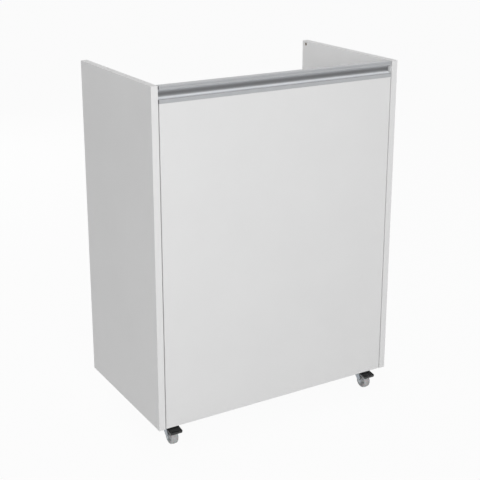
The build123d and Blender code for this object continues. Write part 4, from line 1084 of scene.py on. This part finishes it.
class MakePedals(bpy.types.Operator):
    """Mould the dished brake pedals with their grip ribs, and bend the steel levers that carry them"""

    bl_idname = "cabinet.make_pedals"
    bl_label = "Make pedals"

    def execute(self, context):
        shape = context.scene.castor_shape
        for place in BRAKED_CASTORS:
            pin = joint_place(f"pedal_{place}")
            corner = np.array((pin[0], pin[1] - shape.setback, pin[2] + shape.drop))
            lever_low, lever_high = corners(f"brake_lever_{place}")
            half = (lever_high[0] - lever_low[0]) / 2
            node = f"brake_pedal_{place}"
            plate = add_piece(f"pedal_plate_{place}", [self.plate(shape, corner, half)], 40.0)
            settle(plate, node)
            node = f"brake_lever_{place}"
            lever = add_piece(f"pedal_lever_{place}", [self.lever(shape, corner, half)], 35.0)
            bevel_edges(lever, 0.3 * MM)
            settle(lever, node)
        return {"FINISHED"}

    @staticmethod
    def down_slope(shape, corner, along, above):
        """Depth and height of points given along the pedal's slope and square to it, from its rear edge."""
        fall, level = math.sin(shape.slope), math.cos(shape.slope)
        return corner[1] + along * level - above * fall, corner[2] + along * fall + above * level

    @classmethod
    def plate(cls, shape, corner, pocket_half):
        """Pedal plate: a rounded section carried across the pedal.

        The section is a closed loop from the rear edge to the tip and back underneath. Towards
        each side it thins by a quarter of an ellipse, and its corners draw back by a circle. The
        top is hollowed by the product of two parabolas, the ribs are rounded waves, and the
        underside steps up over the lever.
        """
        half, radius, centre = shape.pedal_width / 2, shape.pedal_corner, shape.pedal_thickness / 2
        side_edge, lip_fall, clearance, end_rounding, steps = 1.0 * MM, 1.6 * MM, 0.1 * MM, 0.08, 90
        side = half * np.sin(np.linspace(-np.pi / 2, np.pi / 2, 61))[:, None]
        into_corner = np.clip(np.abs(side) - (half - radius), 0, radius)
        draw_back = radius - np.sqrt(radius**2 - into_corner**2)
        edge = np.clip((np.abs(side) - half) / side_edge + 1, 0, 1)
        thin = np.sqrt(1 - edge**2)
        over = 0.5 - 0.5 * np.cos(np.linspace(0, np.pi, steps))
        across = np.concatenate((over, over[::-1]))[None, :]
        upper = np.arange(2 * steps)[None, :] < steps
        into_end = np.clip(np.abs(2 * across - 1) - (1 - end_rounding), 0, end_rounding)
        rounding = np.sqrt(1 - (into_end / end_rounding) ** 2)
        along = -draw_back - (shape.pedal_length - 2 * draw_back) * across
        from_tip = along + shape.pedal_length
        hollow = shape.dish * (1 - (side / half) ** 2) * (1 - (2 * from_tip / shape.pedal_length - 1) ** 2)
        wave = (from_tip - radius) / shape.pedal_pitch
        on_rib = (wave > 0.5) & (wave < shape.pedal_ribs + 0.5) & (np.abs(side) < half - radius)
        rib = shape.pedal_rib * np.clip(1.6 * np.cos(2 * np.pi * wave) - 0.2, 0, 1) * on_rib
        lip = shape.pedal_lip * np.clip(1.6 - from_tip / lip_fall, 0, 1)
        over_lever = (np.abs(side) < pocket_half + clearance) & (-along < shape.lever_length + clearance)
        pocket = shape.lever * over_lever
        bulge = centre * thin * rounding
        above = np.where(upper, centre + bulge - hollow + rib, centre - bulge - lip * rounding * thin + pocket)
        y, z = cls.down_slope(shape, corner, along, above)
        x = np.broadcast_to(corner[0] + side, y.shape)
        return np.stack((x, y, z), axis=2).reshape(-1, 3), quads(*y.shape, False, True)

    @classmethod
    def lever(cls, shape, corner, half):
        """Lever in side view: a strip along the slope that ends in a round eye, carried across the fork."""
        bore_radius = 1.6 * MM
        fall, level = math.sin(shape.slope), math.cos(shape.slope)
        pin = (shape.setback * level - shape.drop * fall, -shape.setback * fall - shape.drop * level)
        rear = shape.setback
        start = 180 - math.degrees(math.asin(-pin[1] / shape.eye))
        end = 360 + math.degrees(math.acos((rear - pin[0]) / shape.eye))
        strip = [(rear, shape.lever), (-shape.lever_length, shape.lever), (-shape.lever_length, 0.0)]
        outline = np.concatenate((arc(pin, shape.eye, start, end, 41), strip))
        bore = arc(pin, bore_radius, 0, 345, 24)
        loops = [np.stack(cls.down_slope(shape, corner, loop[:, 0], loop[:, 1]), axis=1)
                 for loop in (outline, bore)]
        return extruded(np.zeros(3), loops, RIGHT, corner[0] - half, corner[0] + half)


class MakeScrews(bpy.types.Operator):
    """Form the cross-recessed screws and the tacks"""

    bl_idname = "cabinet.make_screws"
    bl_label = "Make screws"

    def execute(self, context):
        shape = context.scene.screw_shape
        sets = (
            ("castor_screws", -UP, 1.8 * MM, 1.75 * MM),
            ("hinge_cup_screws", BACKWARD, 1.8 * MM, 1.75 * MM),
            ("hinge_plate_screws", -RIGHT, 1.8 * MM, 1.75 * MM),
            ("hinge_arm_screws", -RIGHT, 1.5 * MM, 2.0 * MM),
            ("catch_screws", RIGHT, 1.4 * MM, 1.5 * MM),
            ("strike_screws", BACKWARD, 1.4 * MM, 1.5 * MM),
        )
        for node, outward, head, shank in sets:
            shells = [self.screw(shape, low, high, outward, head, shank) for low, high in islands(node)]
            settle(add_piece(f"recessed_{node}", shells, 45.0), node)
        shells = [self.tack(low, high) for low, high in islands("back_tacks")]
        settle(add_piece("domed_tacks", shells, 45.0), "back_tacks")
        return {"FINISHED"}

    @staticmethod
    def screw(shape, low, high, outward, head, shank):
        """Pan head screw turned about its axis.

        The head falls from its middle with the fourth power of the radius and has a round
        rim. A cross is sunk into it, whose walls are smooth steps in the two directions
        across the head. The thread is a row of teeth that ends in a cone.
        """
        size, centre = high - low, (low + high) / 2
        across = size[np.abs(outward) < 0.5]
        radius, total = across.max() / 2, size @ np.abs(outward)
        seat = centre + outward * (total / 2 - head)
        sectors, rounded, rim_height = 64, 0.12, 0.35
        point, blunt, taper = 2.0 * MM, 1.2 * MM, 0.7
        share_out = np.concatenate((np.linspace(0, 0.72, 25), np.linspace(0.75, 1.0, 10)))
        level = head * (1 - shape.dome * share_out**4)
        into_rim = np.clip(share_out - (1 - rounded), 0, rounded) / rounded
        rim = np.sqrt(np.clip(1 - into_rim**2, 0, 1))
        level = level * (rim_height + (1 - rim_height) * rim)
        angle = 2 * np.pi * np.arange(sectors) / sectors
        u = np.abs(np.outer(share_out, np.cos(angle)))
        v = np.abs(np.outer(share_out, np.sin(angle)))
        reach, width, soft = shape.recess_length, shape.recess_width, 0.05
        steps = [np.clip((limit - value) / soft + 0.5, 0, 1)
                 for value, limit in ((u, reach), (v, width), (v, reach), (u, width))]
        cross = np.maximum(steps[0] * steps[1], steps[2] * steps[3])
        face = level[:, None] - shape.recess_depth * head * cross
        below = total - head
        teeth = np.arange(0, below - point, shape.thread_pitch / 4)
        tooth = np.array((0.0, 0.5, 1.0, 0.5))[np.arange(len(teeth)) % 4]
        thread = np.stack((-teeth, shank - shape.thread_depth * tooth), axis=1)
        tail = np.concatenate(([(0.0, radius)], thread, [(blunt - below, shank * taper), (-below, 0.0)]))
        along = np.concatenate((face, np.broadcast_to(tail[:, :1], (len(tail), sectors))))
        away = np.concatenate((share_out * radius, tail[:, 1]))
        return turned(seat, outward, along, away[:, None], sectors, closed=False)

    @staticmethod
    def tack(low, high):
        """Tack turned about the depth of the cabinet: a shallow dome, a straight shank and a point."""
        centre, radius = (low + high) / 2, (high[0] - low[0]) / 2
        head, shank, point = 0.8 * MM, 0.8 * MM, 2.0 * MM
        dome = arc((0.0, 0.0), 1.0, 90, 0, 8)
        section = np.concatenate((
            np.stack((high[1] - head + head * dome[:, 1], radius * dome[:, 0]), axis=1),
            [(high[1] - head, shank), (low[1] + point, shank), (low[1], 0.0)]))
        origin = np.array((centre[0], 0.0, centre[2]))
        return turned(origin, BACKWARD, section[:, 0], section[:, 1], 24, closed=False)


class MakeHinges(bpy.types.Operator):
    """Soften the pressed parts of the concealed hinges"""

    bl_idname = "cabinet.make_hinges"
    bl_label = "Make hinges"

    def execute(self, context):
        for level in HINGE_LEVELS:
            for part in ("cup", "arm", "plate"):
                node = f"hinge_{part}_{level}"
                settle(softened_copy(f"pressed_{part}_{level}", node, 0.2 * MM), node)
        return {"FINISHED"}


class MakeInnerFittings(bpy.types.Operator):
    """Soften the catch, the stop and the strike plate, and turn the shelf pins"""

    bl_idname = "cabinet.make_inner_fittings"
    bl_label = "Make inner fittings"

    def execute(self, context):
        for name, node, width in (
            ("catch_case", "catch_housing", 0.6 * MM),
            ("stop_block", "door_stop", 0.8 * MM),
            ("strike_sheet", "strike_plate", 0.2 * MM),
        ):
            settle(softened_copy(name, node, width), node)
        node = "shelf_pins"
        shells = [self.pin(low, high) for low, high in islands(node)]
        settle(add_piece("turned_shelf_pins", shells, 35.0), node)
        return {"FINISHED"}

    @staticmethod
    def pin(low, high):
        """Shelf pin turned about its axis: a rounded peg, a flange with soft edges and a plug."""
        centre, radius = (low + high) / 2, (high[2] - low[2]) / 2
        outward = -RIGHT if centre[0] > 0 else RIGHT
        half, peg, plug, flange = (high[0] - low[0]) / 2, 2.5 * MM, 8.0 * MM, 0.8 * MM
        round_end, chamfer = 1.0 * MM, 0.5 * MM
        tip = arc((half - round_end, peg - round_end), round_end, 0, 90, 6)
        mouth = -half + plug
        edge = arc((mouth + flange / 2, radius - flange / 2), flange / 2, 0, 180, 8)
        section = np.concatenate((
            [(half, 0.0)], tip, [(mouth + flange, peg)], edge, [(mouth, peg), (chamfer - half, peg)],
            [(-half, peg - chamfer), (-half, 0.0)]))
        return turned(centre, outward, section[:, 0], section[:, 1], 40, closed=False)


class SetStage(bpy.types.Operator):
    """Lay the floor, hang the lamps and set the camera"""

    bl_idname = "cabinet.set_stage"
    bl_label = "Set stage"

    def execute(self, context):
        light = context.scene.studio_light
        self.lay_floor(light)
        self.light_world(context.scene, light)
        self.hang_lamps(context.scene, light)
        self.set_camera(context.scene, light)
        context.scene.view_settings.view_transform = "Standard"
        return {"FINISHED"}

    @staticmethod
    def seen_directly(tree):
        """One for rays from the camera, for mirrored rays and for rays through glass."""
        path = put(tree, "ShaderNodeLightPath").outputs
        mirrored = calculate(tree, "MAXIMUM", path["Is Glossy Ray"], path["Is Transmission Ray"])
        return calculate(tree, "MAXIMUM", path["Is Camera Ray"], mirrored)

    @classmethod
    def lay_floor(cls, light):
        """Level square floor: a grid of a few large quads."""
        side = np.linspace(-FLOOR_HALF, FLOOR_HALF, FLOOR_LINES)
        x, y = np.meshgrid(side, side)
        points = np.stack((x.ravel(), y.ravel(), np.zeros(x.size)), axis=1)
        mesh = bpy.data.meshes.new("studio_floor")
        mesh.from_pydata(points.tolist(), [], quads(FLOOR_LINES, FLOOR_LINES))
        floor = bpy.data.objects.new("studio_floor", mesh)
        bpy.context.scene.collection.objects.link(floor)
        material = bpy.data.materials.new("Studio floor")
        material.use_nodes = True
        tree = material.node_tree
        tree.nodes.clear()
        plain = put(tree, "ShaderNodeBsdfDiffuse", {"Color": rgba(light.floor)}).outputs[0]
        glow = put(tree, "ShaderNodeEmission", {"Strength": 1.0}).outputs[0]
        glowing = calculate(tree, "MULTIPLY", cls.seen_directly(tree), light.floor_glow)
        surface = put(tree, "ShaderNodeMixShader", {0: glowing, 1: plain, 2: glow}).outputs[0]
        put(tree, "ShaderNodeOutputMaterial", {"Surface": surface})
        mesh.materials.append(material)

    @classmethod
    def light_world(cls, scene, light):
        """Soft light that is strongest at the horizon, seen as white by the camera and in mirrors."""
        world = bpy.data.worlds.new("Studio")
        world.use_nodes = True
        tree = world.node_tree
        tree.nodes.clear()
        toward = put(tree, "ShaderNodeTexCoord").outputs["Generated"]
        height = calculate(tree, "ABSOLUTE", component(tree, toward, 2))
        strength = ramp(tree, height, 0.0, 1.0, light.horizon, light.zenith)
        ambient = put(tree, "ShaderNodeBackground", {"Color": WHITE, "Strength": strength}).outputs[0]
        white = put(tree, "ShaderNodeBackground", {"Color": WHITE, "Strength": 1.0}).outputs[0]
        direct = cls.seen_directly(tree)
        surface = put(tree, "ShaderNodeMixShader", {0: direct, 1: ambient, 2: white}).outputs[0]
        put(tree, "ShaderNodeOutputWorld", {"Surface": surface})
        scene.world = world

    @classmethod
    def hang_lamps(cls, scene, light):
        """Large soft lamp in front, one behind, and a narrow one that looks in over the left side."""
        front, rear = middle("door_panel"), middle("back_panel")
        cls.hang_lamp(scene, "Soft lamp", light.lamp_power, light.lamp_size, front, SOFT_LAMP_OFFSET)
        back = cls.hang_lamp(scene, "Back lamp", light.back_power, light.back_size, rear, BACK_LAMP_OFFSET)
        back.visible_glossy = False
        low, high = corners("side_right")
        inside = np.array((low[0], middle("side_right")[1], high[2] - FILL_TARGET_DROP))
        fill = cls.hang_lamp(scene, "Fill lamp", light.fill_power, light.fill_size, inside, FILL_LAMP_OFFSET)
        fill.data.spread = light.fill_spread

    @staticmethod
    def hang_lamp(scene, name, power, size, target, away):
        """Square lamp at an offset from its target, turned to face it."""
        lamp = bpy.data.lights.new(name, "AREA")
        lamp.shape = "SQUARE"
        lamp.size = size
        lamp.energy = power
        holder = bpy.data.objects.new(name, lamp)
        scene.collection.objects.link(holder)
        holder.visible_camera = False
        holder.location = target + away
        holder.rotation_euler = (math.atan2(math.hypot(away[0], away[1]), away[2]), 0.0,
                                 math.atan2(-away[0], away[1]) + math.pi)
        return holder

    @staticmethod
    def set_camera(scene, light):
        """Camera that looks along the heading and tilt from its place."""
        camera = bpy.data.cameras.new("Front left view")
        camera.sensor_width = 36.0
        camera.lens = light.lens
        camera.shift_y = CAMERA_SHIFT
        camera.clip_end = 100.0
        holder = bpy.data.objects.new("Front left view", camera)
        scene.collection.objects.link(holder)
        holder.location = CAMERA_PLACE
        holder.rotation_euler = (math.pi / 2 - light.tilt, 0.0, light.heading)
        scene.camera = holder


GROUPS = {
    "cabinet_finish": CabinetFinish,
    "board_layers": BoardLayers,
    "finger_pull_shape": FingerPullShape,
    "castor_shape": CastorShape,
    "screw_shape": ScrewShape,
    "studio_light": StudioLight,
}
OPERATORS = (
    DressBoards, DressFittings, MakeFingerPull, MakeTyres, MakeWheels, MakeForks, MakeSwivelHeads,
    MakeCrossPins, MakePedals, MakeScrews, MakeHinges, MakeInnerFittings, SetStage,
)


class CabinetPanel(bpy.types.Panel):
    """Panel in the sidebar that lists the cabinet's settings and steps"""

    bl_idname = "VIEW3D_PT_cabinet"
    bl_label = "Rolling cabinet"
    bl_space_type = "VIEW_3D"
    bl_region_type = "UI"
    bl_category = "Cabinet"

    def draw(self, context):
        column = self.layout.column()
        for group in GROUPS:
            settings = getattr(context.scene, group)
            for name in settings.__annotations__:
                column.prop(settings, name)
        for operator in OPERATORS:
            column.operator(operator.bl_idname)


def register():
    for group in GROUPS.values():
        bpy.utils.register_class(group)
    for name, group in GROUPS.items():
        setattr(bpy.types.Scene, name, bpy.props.PointerProperty(type=group))
    for operator in OPERATORS:
        bpy.utils.register_class(operator)
    bpy.utils.register_class(CabinetPanel)


def unregister():
    bpy.utils.unregister_class(CabinetPanel)
    for operator in reversed(OPERATORS):
        bpy.utils.unregister_class(operator)
    for name, group in GROUPS.items():
        delattr(bpy.types.Scene, name)
        bpy.utils.unregister_class(group)


def main():
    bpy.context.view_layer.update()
    register()
    build_groups()
    for operator in OPERATORS:
        group, name = operator.bl_idname.split(".")
        getattr(getattr(bpy.ops, group), name)()


if __name__ == "__main__":
    main()
